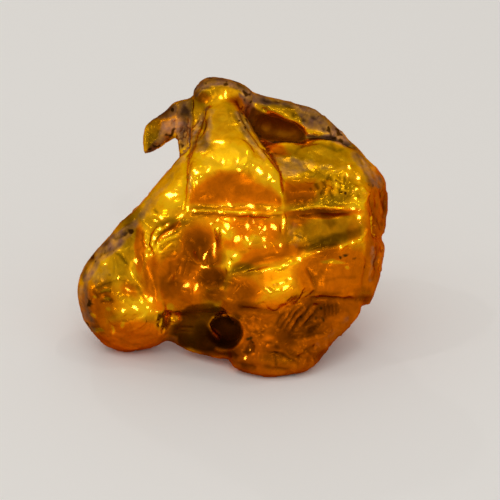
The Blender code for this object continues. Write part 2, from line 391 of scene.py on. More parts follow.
# %% Rubbing out the creases of the solid
RUB_EDGE = 8.0
SOLID_CREASES = [
    ([(150, 256), (172, 262), (176, 304), (160, 306), (148, 292)], 30),
    ([(196, 220), (236, 222), (236, 250), (232, 280), (222, 292), (204, 262), (190, 240)], 30),
    ([(200, 216), (232, 218), (232, 246), (226, 262), (206, 262), (196, 240)], 60),
    ([(280, 184), (290, 184), (294, 250), (282, 254)], 16),
    ([(246, 258), (298, 246), (304, 262), (290, 290), (250, 280)], 20),
    ([(196, 104), (210, 104), (204, 150), (188, 152)], 10),
    ([(234, 104), (246, 104), (286, 180), (282, 200), (262, 172)], 10),
]


def soften(corners, rounds):
    """Moves the points inside a shape towards their neighbours, but not the flats."""
    share = (0.5 * field(corners, RUB_EDGE) * (1 - clay.bright))[:, None]
    average = averager(clay.mesh)
    for _ in range(rounds):
        clay.place += share * (average(clay.place) - clay.place)


for corners, rounds in SOLID_CREASES:
    soften(corners, rounds)
clay.settle()
print(len(SOLID_CREASES), "creases rubbed out")

# %% [markdown]
# ## Crown, spine and brow
# The spine comes down from the crown like the ridge of a tent. Its sides end in pale
# rims, and it breaks over the brow into a steep band with two thin lips below it.
# The strokes are kept as rows: the tool, its path or corners or centre in the picture,
# and then its own values in millimetres and tones, in the order of the tool above.

# %% Crown
CROWN = [
    (lip, [(214, 88), (200, 90), (193, 98)], 0.12, 0.8, 0.16),
    (lip, [(246, 92), (232, 86), (214, 86)], 0.12, 0.8, -0.14),
    (shade_and_stain, [(196, 93), (203, 91), (209, 94), (208, 98), (203, 97), (201, 102), (196, 101)], -1.0, 2),
    (shade_and_stain, [(231, 99), (238, 96), (248, 100), (254, 110), (250, 120), (243, 118),
         (237, 108)], -0.6, 5),
    *[
        (line, [(236 + shift, 82 + shift / 2), (241 + shift, 90), (240 + shift, 98)], 0.14, -0.4)
        for shift in (0, 5, 10)
    ],
    (line, [(200, 84), (212, 80), (226, 79)], 0.15, -0.5),
    (line, [(236, 84), (243, 88), (247, 94)], 0.15, -0.7),
    (line, [(241, 80), (248, 86), (253, 94)], 0.14, -0.6),
    (line, [(196, 84), (194, 90), (192, 96)], 0.15, -0.5),
    (dish, (241, 106), (5, 8), 0.15, -20),
]


def sculpt(part, *tables):
    """Makes the strokes of a part in their order, then lets the clay settle."""
    strokes = [stroke for table in tables for stroke in table]
    for tool, *how in strokes:
        tool(*how)
    clay.settle()
    print(part, "has", len(strokes), "strokes")


sculpt("crown", CROWN)

# %% Spine
SPINE = [
    (ridge, [(211, 104), (208, 112), (202, 120), (196, 130), (189, 145)], 0.22, 0.14),
    (ridge, [(213, 106), (210, 120), (208, 132), (205, 146)], 0.28, 0.16),
    (seam, [(206, 106), (204, 118), (201, 132), (197, 142)], 0.16, 0.12, -0.35),
    (shade_and_stain, [(195, 102), (203, 101), (205, 111), (200, 118), (195, 115)], -0.45),
    (shade_and_stain, [(202, 121), (206, 119), (207, 128), (203, 131), (199, 127)], -1.1, 2),
    (dish, (203, 126), (3, 7), 0.22, 20),
    (shade_and_stain, [(190, 138), (200, 134), (206, 142), (206, 150), (192, 151)], -0.45, 5),
    (ridge, [(195, 98), (196, 110), (193, 124)], 0.25, 0.12),
    (line, [(197, 117), (198, 124)], 0.14, -0.8),
    (ridge, [(233, 99), (239, 118), (249, 137), (262, 153), (271, 166), (280, 186)], 0.26, 0.18, 0.2),
    (seam, [(237, 103), (243, 120), (254, 139), (266, 153), (274, 166)], 0.14, 0.10, -0.35),
    (line, [(234, 112), (241, 129), (250, 141), (258, 150)], 0.14, -0.5),
    (ridge, [(242, 113), (247, 123), (250, 130)], 0.2, 0.1),
    (seam, [(240, 114), (245, 126)], 0.12, 0.1),
    (ridge, [(212, 143), (222, 141), (234, 141)], 0.22, 0.09),
    *[
        (line, [(190, 131 + 1.6 * drop), (199, 133 + drop), (209, 139 + drop / 2)], 0.09, -0.5)
        for drop in (0, 4, 8, 12)
    ],
    *[
        (line, [(227 + shift, 108), (230 + shift, 116), (233 + shift, 124)], 0.09, -0.4)
        for shift in (0, 3, 6)
    ],
    # A broad painted highlight on the lower spine.
    (shade_and_stain, [(206, 148), (226, 144), (242, 150), (250, 160), (236, 166), (208, 166)], 0.6, 10),
    (ridge, [(188, 154), (191, 146), (198, 143)], 0.2, 0.06, 0.4),
]
sculpt("spine", SPINE)

# %% Brow, and the lips of the groove under it
BROW = [
    (ridge, [(187, 150), (188, 170), (188, 190), (188, 211)], 0.20, 0.08, 0.1),
    (seam, [(191, 158), (191, 180), (191, 204)], 0.14, 0.05, -0.2),
    (shade_and_stain, [(194, 180), (230, 170), (262, 178), (278, 190), (278, 200), (194, 200)], -0.25, 12),
    (lip, [(283, 206), (262, 203), (240, 205), (222, 205), (196, 203)], 0.08, 0.5, -0.08, 0.3),
    (lip, [(284, 213), (262, 212), (240, 212), (217, 211.5), (188, 211)], 0.07, 0.5, -0.09, 0.2),
    (seam, [(188, 214.5), (212, 215), (240, 215), (262, 215.5), (283, 215.5)], 0.12, 0.12, -0.9, 0.05),
    (shade_and_stain, [(190, 213), (283, 214), (283, 219), (262, 220), (240, 219), (212, 218),
         (190, 217)], -0.4, 4),
    (ridge, [(188, 211), (215, 211), (240, 212), (283, 213)], 0.10, 0.09, 1.9, 0.03),
    (ridge, [(281, 186), (282, 200), (282, 214)], 0.14, 0.08),
]
sculpt("brow", BROW)

# %% [markdown]
# ## Ear
# A thin flap was folded out from beside the crown. Its neck is crumpled and darker, so
# most of its strokes are shapes painted darker or paler, as shade and stains, and short seams.

# %% Ear
EAR = [
    (shade_and_stain, [(180, 108), (186, 106), (190, 110), (188, 116), (181, 115)], -1.2),
    (dish, (184, 111), (4, 4), 0.2),
    (dish, (185, 102), (5, 4), -0.12),
    (shade_and_stain, [(178, 100), (192, 96), (192, 128), (188, 146), (180, 150), (177, 130)], -0.2, 4),
    (shade_and_stain, [(179, 112), (191, 110), (189, 122), (185, 147), (180, 140)], -0.5),
    (seam, [(185, 116), (184, 128), (181, 143)], 0.18, 0.16),
    (ridge, [(189, 117), (189, 128), (187, 138)], 0.16, 0.14, 0.6),
    (seam, [(192, 97), (192, 112), (192, 128)], 0.16, 0.16),
    (ridge, [(178, 130), (179, 140), (180, 147)], 0.16, 0.12, 0.6),
    (seam, [(176, 110), (178, 119)], 0.16, 0.14),
    (shade_and_stain, [(149, 122), (161, 122), (158, 134), (155, 143), (149, 144), (147, 134)], -0.5),
    (line, [(158, 130), (157, 142)], 0.2, -0.7),
    (shade_and_stain, [(147, 142), (153, 143), (150, 149), (147, 148)], -1.1, 2),
    (shade_and_stain, [(144, 151), (150, 151), (148, 157), (144, 157)], -1.2, 2),
    (shade_and_stain, [(161, 121), (175, 119), (178, 128), (170, 137), (160, 140)], 0.5),
    (ridge, [(151, 152), (157, 148), (163, 144), (169, 139)], 0.2, 0.12, 0.4),
    (ridge, [(147, 122), (146, 135), (146, 148)], 0.16, 0.08, 0.4),
    (line, [(151, 117), (160, 113), (170, 109), (176, 104)], 0.14, -0.5),
    (ridge, [(150, 121), (162, 119), (174, 117)], 0.2, 0.08),
    (dish, (153, 132), (5, 8), 0.14),
]
sculpt("ear", EAR)

# %% [markdown]
# ## Shoulder, petal and lobe
# Left of the brow a flat shoulder ends in a bright fold that runs down to a small
# fluted bowl, like a petal. Below it the arm swells into the round lobe.

# %% Petal
STEMS = [
    [(171, 223), (164, 227), (157.5, 231.5), (153, 237), (152, 246)],
    [(175, 229.5), (168, 233), (161.5, 238), (159, 243)],
    [(180, 233), (173, 236.5), (166, 240), (160, 244)], [(146.3, 235), (146, 247)],
    [(145, 250), (145.2, 253.5), (147.5, 256.3), (151, 256), (153.3, 252.5), (153.3, 249)],
]
PETAL = [
    (line, [(189, 152), (190, 170), (189, 196)], 0.16, -0.3),
    (ridge, [(188, 198), (188, 205), (188, 210)], 0.14, 0.10, 0.9, 0.05),
    (ridge, [(188, 210), (183, 214), (176, 219.5)], 0.14, 0.14, 0.9, 0.05),
    *[(ridge, stem, 0.13, 0.15, 0.9, 0.08) for stem in STEMS],
    *[
        (seam, furrow, 0.12, 0.12, dark)
        for furrow, dark in (
            ([(176, 225), (167, 229.5), (160, 234.5), (155.5, 241), (155, 248)], -1.25),
            ([(180, 230), (171, 234.5), (165, 238)], -1.0),
            ([(180, 237), (172, 240.5), (165, 244), (158, 249)], -1.3),
            ([(149.3, 233), (149, 241), (149, 247)], -0.5), ([(144, 248), (150, 247.5)], -0.8),
        )
    ],
    (dish, (149.5, 252.8), (1.6, 1.3), 0.08, 0, -1.0),
    (shade_and_stain, [(174, 224.5), (176, 228), (168, 231), (161, 235.5), (157.5, 242), (154, 246),
         (154.5, 239), (159, 232.5)], -0.9, 2),
    (shade_and_stain, [(148, 234), (151.5, 234), (151, 246), (148, 247)], -0.9, 2),
    (shade_and_stain, [(160, 222), (171, 221), (160, 228), (152, 236), (150, 231)], -0.5),
]

# %% Under the petal
UNDER_PETAL = [
    *[
        (line, [(160, 250 + drop), (169, 248 + drop), (178, 246 + 1.2 * drop)], 0.13, -0.6)
        for drop in (0, 4, 8)
    ],
    (ridge, [(181, 240), (182.5, 246), (181, 253), (175, 259), (166, 262)], 0.14, 0.10, 0.5, 0.1),
    (seam, [(143, 230), (143, 248), (144, 262)], 0.16, 0.1),
    (ridge, [(149, 258), (150, 272), (150, 292)], 0.20, 0.10),
    (ridge, [(158, 262), (159, 276), (160, 294)], 0.16, 0.10),
    (seam, [(144, 258), (145, 274), (148, 290)], 0.18, 0.10, -0.5),
    (seam, [(154, 264), (154, 278), (155, 292)], 0.14, 0.05, -0.25),
    *[
        (ridge, crease, 0.35, 0.14, -0.2)
        for crease in ([(154, 257), (156, 272), (157.5, 292)], [(163, 275), (164.5, 290), (165, 304)])
    ],
    (dish, (157, 219), (5, 3.5), 0.10),
    (lip, [(150, 208), (158, 215), (168, 220)], 0.10, 0.6, -0.08),
    (line, [(153, 208), (158, 214)], 0.14, -0.5),
]
sculpt("petal", PETAL, UNDER_PETAL)

# %% Top of the lobe
LOBE_TOP = [
    (shade_and_stain, [(128, 228), (141, 226), (143, 262), (133, 260), (122, 246)], -0.6, 5),
    (seam, [(97, 258), (106, 251), (116, 247), (122, 241)], 0.18, 0.12),
    (seam, [(112, 239), (120, 236), (129, 230)], 0.18, 0.12, -1.0),
    (ridge, [(90, 256), (104, 243), (117, 233), (130, 224)], 0.2, 0.08),
    *[(dish, (x, y), (3, 2), 0.12, -40, -1.5) for x, y in ((106, 243), (91, 258), (124, 233))],
    *[
        (line, [(84 + inset, 282), (83 + inset, 300), (88 + inset, 318), (97 + inset, 333)], 0.13, -0.6)
        for inset in (0, 3, 6)
    ],
    *[(line, [(96, 246 + drop), (86, 262 + drop), (82, 276 + drop)], 0.13, -0.4) for drop in (0, 4, 8)],
    (shade_and_stain, [(95, 262), (106, 254), (118, 256), (124, 268), (116, 278), (98, 281),
         (92, 274)], 0.2, 1.5),
    (shade_and_stain, [(92, 324), (104, 327), (106, 334), (97, 336), (91, 331)], -0.5),
    (ridge, [(126, 265), (130, 270), (137, 282), (147, 297)], 0.20, 0.12),
    (seam, [(113, 251), (120, 256), (128, 265)], 0.14, 0.07, -0.8),
    (seam, [(113, 256), (114, 266), (114, 278)], 0.16, 0.06, -0.35),
    (line, [(116, 253), (124, 259), (130, 268)], 0.15, -0.5),
    (lip, [(140, 286), (126, 281), (118, 278), (111, 282), (104, 283), (96, 287),
         (90, 288)], 0.12, 0.7, -0.09),
]

# %% Front of the lobe
LOBE_FRONT = [
    (shade_and_stain, [(96, 286), (105, 282), (111, 281), (112, 286), (103, 289), (96, 289)], -0.8, 2),
    (shade_and_stain, [(115, 257), (124, 259), (130, 268), (128, 277), (118, 278)], -0.35),
    (shade_and_stain, [(92, 290), (112, 289), (114, 316), (94, 320)], -0.35, 6),
    (shade_and_stain, [(112, 286), (134, 286), (146, 294), (149, 308), (138, 319), (120, 321)], 0.25, 8),
    (shade_and_stain, [(122, 278), (136, 281), (142, 289), (132, 291), (124, 285)], -0.45),
    (seam, [(136, 284), (140, 290), (146, 301)], 0.14, 0.08),
    *[
        (seam, path, 0.18, 0.08, -1.3)
        for path in (
            [(98, 293), (105, 292), (112, 290.5)], [(99, 303), (106, 301), (114, 302)],
            [(92, 291), (97, 294), (99, 299)], [(103, 296), (108, 297), (111, 301)],
        )
    ],
    (dish, (106, 300), (9, 7), 0.14, 20),
    (dish, (99, 312), (6, 6), 0.10),
    (dish, (101, 331), (6, 2.5), 0.05, 10, -0.7),
    (dish, (93, 315), (4, 2), -0.05, 40, 0.4),
    (seam, [(118, 338), (130, 344), (142, 345)], 0.14, 0.06, -0.4),
    (ridge, [(110, 342), (126, 348), (142, 348)], 0.16, 0.05),
    (seam, [(97, 336), (104, 341), (112, 344)], 0.14, 0.06, -0.4),
    (lip, [(148, 308), (139, 317), (128, 321), (116, 322)], 0.10, 0.7, 0.10),
]
sculpt("lobe", LOBE_TOP, LOBE_FRONT)

# %% [markdown]
# ## Saddle and rolls
# A smooth valley leads down to a hollow, painted dark as shade, between the petal and the
# three rolls. Each roll is a fold of gold, so its lower edge is a ridge over a seam, painted
# pale and dark: painted highlight and painted shade.

# %% Saddle, hollow and flank
SADDLE = [
    (shade_and_stain, [(188, 238), (199, 232), (208, 240), (209, 262), (196, 263), (189, 254)], -0.7, 10),
    (ridge, [(215.5, 236), (215, 246), (214, 262)], 0.16, 0.03, 0.5),
    (ridge, [(208, 248), (205, 256), (204, 262)], 0.16, 0.05, 0.5),
    (lip, [(186, 256), (196, 264), (208, 267)], 0.10, 0.7, 0.12),
    (ridge, [(223, 262), (222, 270), (227, 276)], 0.18, 0.10),
    (shade_and_stain, [(200, 268), (213, 264), (221, 269), (225, 278), (222, 288), (208, 291),
         (200, 283)], -1.1, 7),
    (shade_and_stain, [(229, 252), (238, 251), (240, 258), (234, 263), (232, 271), (227, 271),
         (226, 262)], 0.6, 4),
    (dish, (212, 277), (9, 8), -0.35),
    (ridge, [(203, 268), (197, 274), (193, 281)], 0.20, 0.12),
    (ridge, [(200, 283), (196, 289), (193, 294)], 0.20, 0.12),
    *[(seam, [(x, 258), (x - 1, 268), (x - 3, 278)], 0.16, 0.07, -0.5) for x in (171, 179, 186, 191)],
    (shade_and_stain, [(162, 281), (178, 279), (186, 290), (174, 298), (163, 298)], -0.6, 6),
    (seam, [(164, 284), (176, 283), (190, 284)], 0.18, 0.08, -0.3),
    (seam, [(163, 300), (165, 312), (176, 314), (182, 312)], 0.16, 0.14),
    (shade_and_stain, [(196, 292), (214, 290), (216, 302), (198, 303)], -0.3, 5),
]
sculpt("saddle", SADDLE)

# %% Rolls
ROLLS = [
    (ridge, [(283, 214), (283, 226), (284, 236)], 0.14, 0.12, 1.0, 0.1),
    (seam, [(285, 216), (286, 232), (290, 250)], 0.14, 0.07, -0.2),
    (ridge, [(229, 248), (230, 260), (229, 271)], 0.24, 0.10, 0.8),
    (line, [(233, 251), (240, 252), (248, 250)], 0.14, -0.5),
    (shade_and_stain, [(238, 263), (262, 256), (290, 251), (293, 257), (264, 262), (240, 269),
         (231, 273)], -0.7, 5),
    (ridge, [(226, 275), (240, 274), (256, 272), (272, 269), (284, 266), (297, 262),
         (300, 258)], 0.15, 0.16, 0.9, 0.06),
    (ridge, [(228, 276), (235, 279), (242, 283)], 0.18, 0.10, 0.4),
    (line, [(226, 281), (234, 285), (246, 288)], 0.2, -0.4),
    (shade_and_stain, [(236, 301), (262, 302), (258, 306), (238, 307)], -0.5),
    (dish, (297, 257), (4, 4), 0.12),
    (seam, [(262, 312), (278, 312), (292, 307), (304, 300)], 0.22, 0.12, -0.5),
    (seam, [(236, 312), (243, 308), (254, 309), (272, 312)], 0.20, 0.08, -0.5),
    (ridge, [(237, 315), (244, 311), (260, 315), (276, 315)], 0.14, 0.08),
    (dish, (238, 296), (10, 8), 0.10),
]
sculpt("rolls", ROLLS)

# %% [markdown]
# ## Cheek, rim and tip
# Right of the brow two sheets of gold are folded over each other, with a ragged edge
# between them, under a thick pitted rim that overhangs a dark pocket.

# %% Rim over the pocket
RIM = [
    (lip, [(306, 136), (302, 129), (293, 122), (280, 117), (266, 110)], 0.08, 0.6, -0.14),
    (line, [(286, 119), (293, 122.5), (300, 127), (302, 134)], 0.14, 0.8),
    (seam, [(268, 106), (284, 108), (300, 118), (314, 128)], 0.16, 0.10, -0.4),
    (seam, [(303, 137), (318, 136.5), (334, 138), (348, 143), (357, 150)], 0.16, 0.26, -1.0),
    (ridge, [(304, 132), (322, 133), (338, 138)], 0.24, 0.10),
    (ridge, [(284, 103), (300, 107), (316, 112), (328, 119)], 0.16, 0.06, 0.45),
    *[
        (dish, (x, y), (wide, high), 0.14, turn, -1.4)
        for x, y, wide, high, turn in (
            (294, 116, 2.5, 2.5, 0), (289, 106, 4, 2, 15), (278, 101, 3, 1, 10), (264, 109, 4, 2, 10),
            (314, 118, 3, 2, 30), (325, 129, 2.5, 1.2, 10), (332, 138, 5, 2, 10),
            (348, 144, 6, 1.8, 35), (265, 100, 5, 2.5, 10), (303, 121, 2, 2, 0),
        )
    ],
    (line, [(262, 100), (275, 103), (288, 107)], 0.14, -0.4),
    (seam, [(352, 140), (362, 154), (374, 168)], 0.18, 0.12),
]
sculpt("rim", RIM)

# %% Upper sheet of the cheek
RAGGED_EDGE = [
    (347, 168), (338, 171), (331, 172), (327, 175), (322, 173), (317, 170), (314, 174), (309, 176),
    (305, 174), (302, 177), (296, 178), (288, 178), (281, 179),
]
UPPER_SHEET = [
    (ridge, [(266, 142), (285, 143), (302, 142), (318, 141), (332, 141.5), (344, 144)], 0.14, 0.08),
    (shade_and_stain, [(286, 145), (303, 144), (330, 144), (348, 151), (350, 168), (320, 165),
         (292, 157)], -0.4, 5),
    (seam, [(294, 155), (299, 149), (304, 143)], 0.12, 0.06, -0.6),
    (line, [(319, 144), (329, 147), (337, 151), (346, 148)], 0.12, -0.5),
    (line, [(330, 143), (336, 150)], 0.12, -0.4),
    (line, [(272, 152), (285, 157), (300, 159), (307, 159)], 0.16, -0.5),
    (shade_and_stain, [(262, 141), (280, 143), (290, 155), (276, 155), (268, 150)], -0.2, 5),
    (ridge, [(280, 156), (296, 158), (312, 160)], 0.30, 0.06),
    (lip, RAGGED_EDGE, 0.08, 0.8, -0.16),
    (shade_and_stain, [(282, 181), (296, 180), (310, 178), (318, 179), (318, 196), (311, 203),
         (286, 205)], -0.4, 4),
    (shade_and_stain, [(318, 176), (345, 170), (352, 180), (350, 203), (318, 203)], -0.15, 4),
]

# %% Lower sheet of the cheek
NEST = [
    (354, 197), (356, 190), (362, 188), (367, 193), (366, 200), (360, 203), (354, 197),
]
LOWER_SHEET = [
    *[
        (seam, path, 0.18, 0.12, -1.6)
        for path in (
            [(322, 178), (326, 186), (321, 197)], [(330, 175), (334, 184), (330, 192), (334, 199)],
            [(338, 173), (342, 183), (339, 196)], [(316, 182), (319, 190)], [(345, 175), (346, 190)],
            [(326, 179), (331, 176)], [(336, 186), (343, 192)],
        )
    ],
    (ridge, [(318, 186), (316, 196), (316, 203)], 0.16, 0.08),
    (ridge, [(325, 180), (329, 188), (327, 196)], 0.18, 0.09),
    (ridge, [(333, 176), (338, 186), (344, 192)], 0.16, 0.09),
    (ridge, NEST, 0.18, 0.14, 0.5, 0),
    (dish, (360, 196), (4, 4), 0.12, 0, -0.7),
    (shade_and_stain, [(288, 217), (304, 213), (326, 210.5), (350, 211.5), (350, 216), (322, 217),
         (300, 221)], -0.9),
    (lip, [(364, 209), (350, 208), (334, 208), (315, 206), (300, 209), (287, 214)], 0.07, 0.6, -0.16),
    (seam, [(288, 218), (304, 213), (322, 211), (345, 212), (362, 213)], 0.20, 0.16, -0.5, 0.08),
    (ridge, [(306, 207), (333, 208), (350, 209), (366, 209)], 0.12, 0.08, 1.0, 0.1),
    *[
        (line, path, 0.13, -0.5)
        for path in (
            [(361, 160), (366, 176), (372, 190)], [(368, 164), (375, 180)], [(356, 152), (362, 166)],
        )
    ],
]
sculpt("cheek", UPPER_SHEET, LOWER_SHEET)

# %% Lower cheek and right tip
LOWER_CHEEK = [
    (shade_and_stain, [(290, 224), (310, 216), (345, 215), (364, 217), (366, 228), (350, 236),
         (300, 246)], -0.45, 6),
    (shade_and_stain, [(296, 247), (316, 237), (345, 233), (361, 227), (363, 236), (336, 244),
         (304, 252)], -1.2, 4),
    (shade_and_stain, [(322, 214), (333, 216), (337, 223), (330, 229), (322, 222)], -0.8),
    (line, [(304, 238), (312, 245), (318, 249)], 0.14, -0.4),
    (ridge, [(326, 214), (335, 218), (346, 216)], 0.16, 0.06),
    (ridge, [(300, 258), (314, 253), (330, 249), (346, 244), (358, 240), (365, 235),
         (368, 226)], 0.14, 0.18, 0.9, 0.05),
    (seam, [(302, 261), (316, 258), (332, 254), (348, 249), (366, 242)], 0.16, 0.16, -0.3),
    (seam, [(372, 184), (370, 200), (374, 216), (382, 232)], 0.16, 0.12, -0.6),
    (seam, [(384, 184), (386, 200), (383, 220)], 0.14, 0.10),
    (ridge, [(378, 188), (378, 202), (381, 218)], 0.18, 0.08),
    (seam, [(368, 240), (368, 256), (364, 276), (362, 292)], 0.18, 0.10, -0.4),
    (seam, [(378, 242), (377, 260), (374, 284)], 0.16, 0.10, -0.5),
    (ridge, [(373, 238), (373, 256), (370, 280)], 0.20, 0.08),
    *[
        (dish, (x, y), (1.5, 3), 0.06, 0, -0.9)
        for x, y in ((385, 208), (382, 224), (374, 262), (376, 248))
    ],
]
sculpt("lower cheek", LOWER_CHEEK)

# %% [markdown]
# ## Foot
# The lowest part was dragged over gravel: long scratches run slantwise across it. To
# its left lies a round hollow with a raised edge.

# %% Scratched front of the foot
FOOT_FRONT = [
    (lip, [(374, 300), (356, 300), (340, 298), (322, 297), (306, 299)], 0.08, 0.7, -0.16),
    (seam, [(306, 299), (322, 297.5), (340, 299), (356, 299), (371, 298)], 0.12, 0.08, -0.8),
    (seam, [(305, 264), (312, 276), (316, 289), (309, 299)], 0.16, 0.12),
    (ridge, [(301, 268), (308, 279), (313, 291)], 0.18, 0.07),
    (line, [(322, 281), (344, 277), (360, 277)], 0.16, -0.3),
    (line, [(310, 291), (326, 294), (346, 294)], 0.16, -0.35),
    (shade_and_stain, [(306, 302), (336, 302), (338, 318), (330, 331), (304, 336), (288, 336),
         (296, 318)], -0.5, 5),
    *[
        (seam, path, 0.17, 0.16, -1.3, 0.25)
        for path in (
            [(313, 302), (301, 318), (288, 335)], [(305, 303), (293, 318), (282, 333)],
            [(297, 306), (286, 320), (277, 333)], [(320, 304), (312, 316), (303, 328)],
            [(286, 309), (279, 319), (275, 328)], [(322, 322), (314, 328), (306, 334)],
        )
    ],
    *[
        (ridge, path, 0.15, 0.12, 0.7)
        for path in (
            [(309, 303), (297, 318), (285, 334)], [(301, 305), (290, 318), (279, 333)],
            [(317, 303), (307, 317), (296, 331)],
        )
    ],
    *[
        (seam, [(325 + shift, 303), (325.5 + shift, 319 - shift / 3)], 0.13, 0.10, -1.0)
        for shift in (0, 4, 8, 12)
    ],
    (shade_and_stain, [(341, 303), (356, 302), (354, 313), (346, 319), (341, 319)], 0.15),
]

# %% Bottom of the foot
FOOT_BOTTOM = [
    (seam, [(288, 338), (302, 337), (316, 334), (332, 332)], 0.16, 0.10),
    (ridge, [(290, 342), (306, 340), (322, 337), (337, 329)], 0.18, 0.12),
    *[
        (dish, (x, y), (wide, high), 0.06, 0, dark)
        for x, y, wide, high, dark in (
            (312, 330, 3.5, 2.5, -1.0), (311, 322, 3, 1.5, -0.7), (340, 323, 4, 1.6, -0.7),
            (263, 331, 2.2, 1.6, -1.3), (292, 344, 5, 4, -0.5), (267, 357, 5, 3, -0.6),
            (308, 359, 2, 3, -0.8), (298, 365, 1.6, 3.5, -0.7),
        )
    ],
    (shade_and_stain, [(250, 340), (255, 346), (255, 352), (247, 354), (243, 352)], -1.4, 2),
    (dish, (250, 347), (5, 6), 0.22),
    (shade_and_stain, [(268, 352), (278, 355), (292, 360), (292, 368), (268, 368), (262, 360)], -0.3, 4),
    (seam, [(266, 352), (280, 354), (287, 358), (298, 363)], 0.14, 0.12, -1.4),
    (seam, [(275, 354), (276, 368)], 0.12, 0.08, -1.2),
    (seam, [(286, 352), (294, 357), (303, 357)], 0.14, 0.08, -1.2),
    (seam, [(262, 366), (276, 369), (290, 369)], 0.14, 0.10, -1.0),
    (line, [(262, 353), (272, 347), (280, 345)], 0.2, -0.4),
    *[
        (seam, [(x, y), (x + way, y + 3), (x + 1.5 * way, y + 9)], 0.13, 0.08, -0.8)
        for x, y, way in (
            (250, 330, 9), (262, 341, 12), (276, 340, -8), (282, 350, 12), (300, 348, 9),
            (316, 346, -9),
        )
    ],
    (ridge, [(274, 351), (282, 351), (292, 356)], 0.2, 0.1),
]
sculpt("foot", FOOT_FRONT, FOOT_BOTTOM)

# %% The hollow beside the foot
RING = [
    (222, 343), (216, 336), (211, 329), (209, 323), (213, 318), (222, 315), (232, 316), (240, 321),
    (245, 327), (245, 336), (240, 345), (232, 350), (221, 350), (212, 349),
]
HOLLOW_EDGE = [
    (ridge, RING, 0.15, 0.14, 0.7, 0.05),
    (shade_and_stain, [(213, 324), (221, 317), (231, 318), (239, 323), (242, 331), (236, 346), (219, 347),
         (217, 331)], -0.3),
    *[
        (ridge, [(172, 331 + drop), (182, 328 + drop), (197, 328 + drop)], 0.15, 0.06)
        for drop in (0, 4)
    ],
    (dish, (176, 336), (2, 2), 0.05, 0, -1.0),
    (ridge, [(164, 340), (178, 347), (192, 351), (206, 356), (222, 361), (236, 367),
         (250, 373)], 0.2, 0.08),
    (shade_and_stain, [(216, 352), (226, 353), (232, 351), (240, 356), (236, 359), (225, 357)], -1.2, 2),
    (shade_and_stain, [(236, 361), (246, 364), (257, 367), (255, 369), (243, 367)], -0.9, 2),
    (seam, [(216, 353), (226, 355), (238, 357)], 0.16, 0.12, 0),
    (seam, [(237, 363), (247, 365), (257, 368)], 0.16, 0.10, 0),
]
sculpt("hollow beside the foot", HOLLOW_EDGE)

# %% [markdown]
# ## Wear all round
# The back and the sides were never in the picture. They get the same kinds of marks
# from noise in space: slow swellings, seams where a noise crosses zero, and pits.

# %% Wear from noise
SWELL_SIZE, FOLD_SIZE, CREASE_SIZE, PIT_SIZE = 2.6, 4.2, 1.5, 0.8
SWELL_HEIGHT, FOLD_DEPTH, CREASE_DEPTH, PIT_DEPTH = 0.09, 0.16, 0.05, 0.35
FOLD_WIDTH, CREASE_WIDTH = 0.035, 0.05
FRONT_SHARE = 0.8


def wear():
    """Seams, swellings and pits everywhere, weaker where the front has its own."""
    unseen = 1 - FRONT_SHARE * clay.seen
    swell = noise_at(clay.place, SWELL_SIZE, 1.0)
    folds = noise_at(clay.place, FOLD_SIZE, 5.0)
    creases = noise_at(clay.place, CREASE_SIZE, 9.0)
    pits = np.clip(noise_at(clay.place, PIT_SIZE, 13.0) - 0.35, 0, 1)
    fold_lines = np.exp(-np.abs(folds + 0.25 * creases) / FOLD_WIDTH)
    crease_lines = np.exp(-np.abs(creases + 0.3 * swell) / CREASE_WIDTH)
    depth = FOLD_DEPTH * fold_lines + CREASE_DEPTH * crease_lines + PIT_DEPTH * pits
    clay.push((SWELL_HEIGHT * swell - depth) * unseen)
    # On the hidden sides the folds, creases and pits are painted darker: painted shade in them.
    clay.tone -= (0.8 * fold_lines + 0.4 * crease_lines + 1.5 * pits) * (1 - clay.seen)


wear()
clay.settle()
print("worn all round")

# %% [markdown]
# ## Hammered patches
# Where stones struck the ridges, the gold has many small uneven cells. Each cell of a
# Voronoi pattern is tilted a little its own way. The noise that tilts them starts from
# the clock, unless it gets a seed, so it gets one and each run makes the same cells.

# %% Tilting small cells
PATCH_EDGE = 1.6
CELL_EDGE = 6
CELL_SPREAD = 7.3
TILT_SEED = 7
noise.seed_set(TILT_SEED)


def patch(centre, radii, turn=0.0):
    """A soft oval mask in the picture."""
    across, down = across_and_down(clay.px - centre[0], clay.py - centre[1], turn)
    away = (across / radii[0]) ** 2 + (down / radii[1]) ** 2
    return np.clip(PATCH_EDGE - PATCH_EDGE * away, 0, 1) * clay.seen


def hammer(mask, size, tilt):
    """Tilts the cells of a Voronoi pattern, each its own way."""
    pick = np.flatnonzero(mask > 0)
    amount = np.empty(len(pick))
    for i, point in enumerate(clay.place[pick]):
        place = Vector(point) / size
        gaps, cells = noise.voronoi(place)
        lean = noise.noise_vector(cells[0] * CELL_SPREAD)
        amount[i] = (place - cells[0]).dot(lean) * min(1.0, (gaps[1] - gaps[0]) * CELL_EDGE)
    clay.push(tilt * size * amount * mask[pick], pick)


# %% [markdown]
# Some parts stay smooth. A row of the coarse and the fine cells has its ovals, if the
# smooth parts are left out, the size of a cell in millimetres and the tilt.

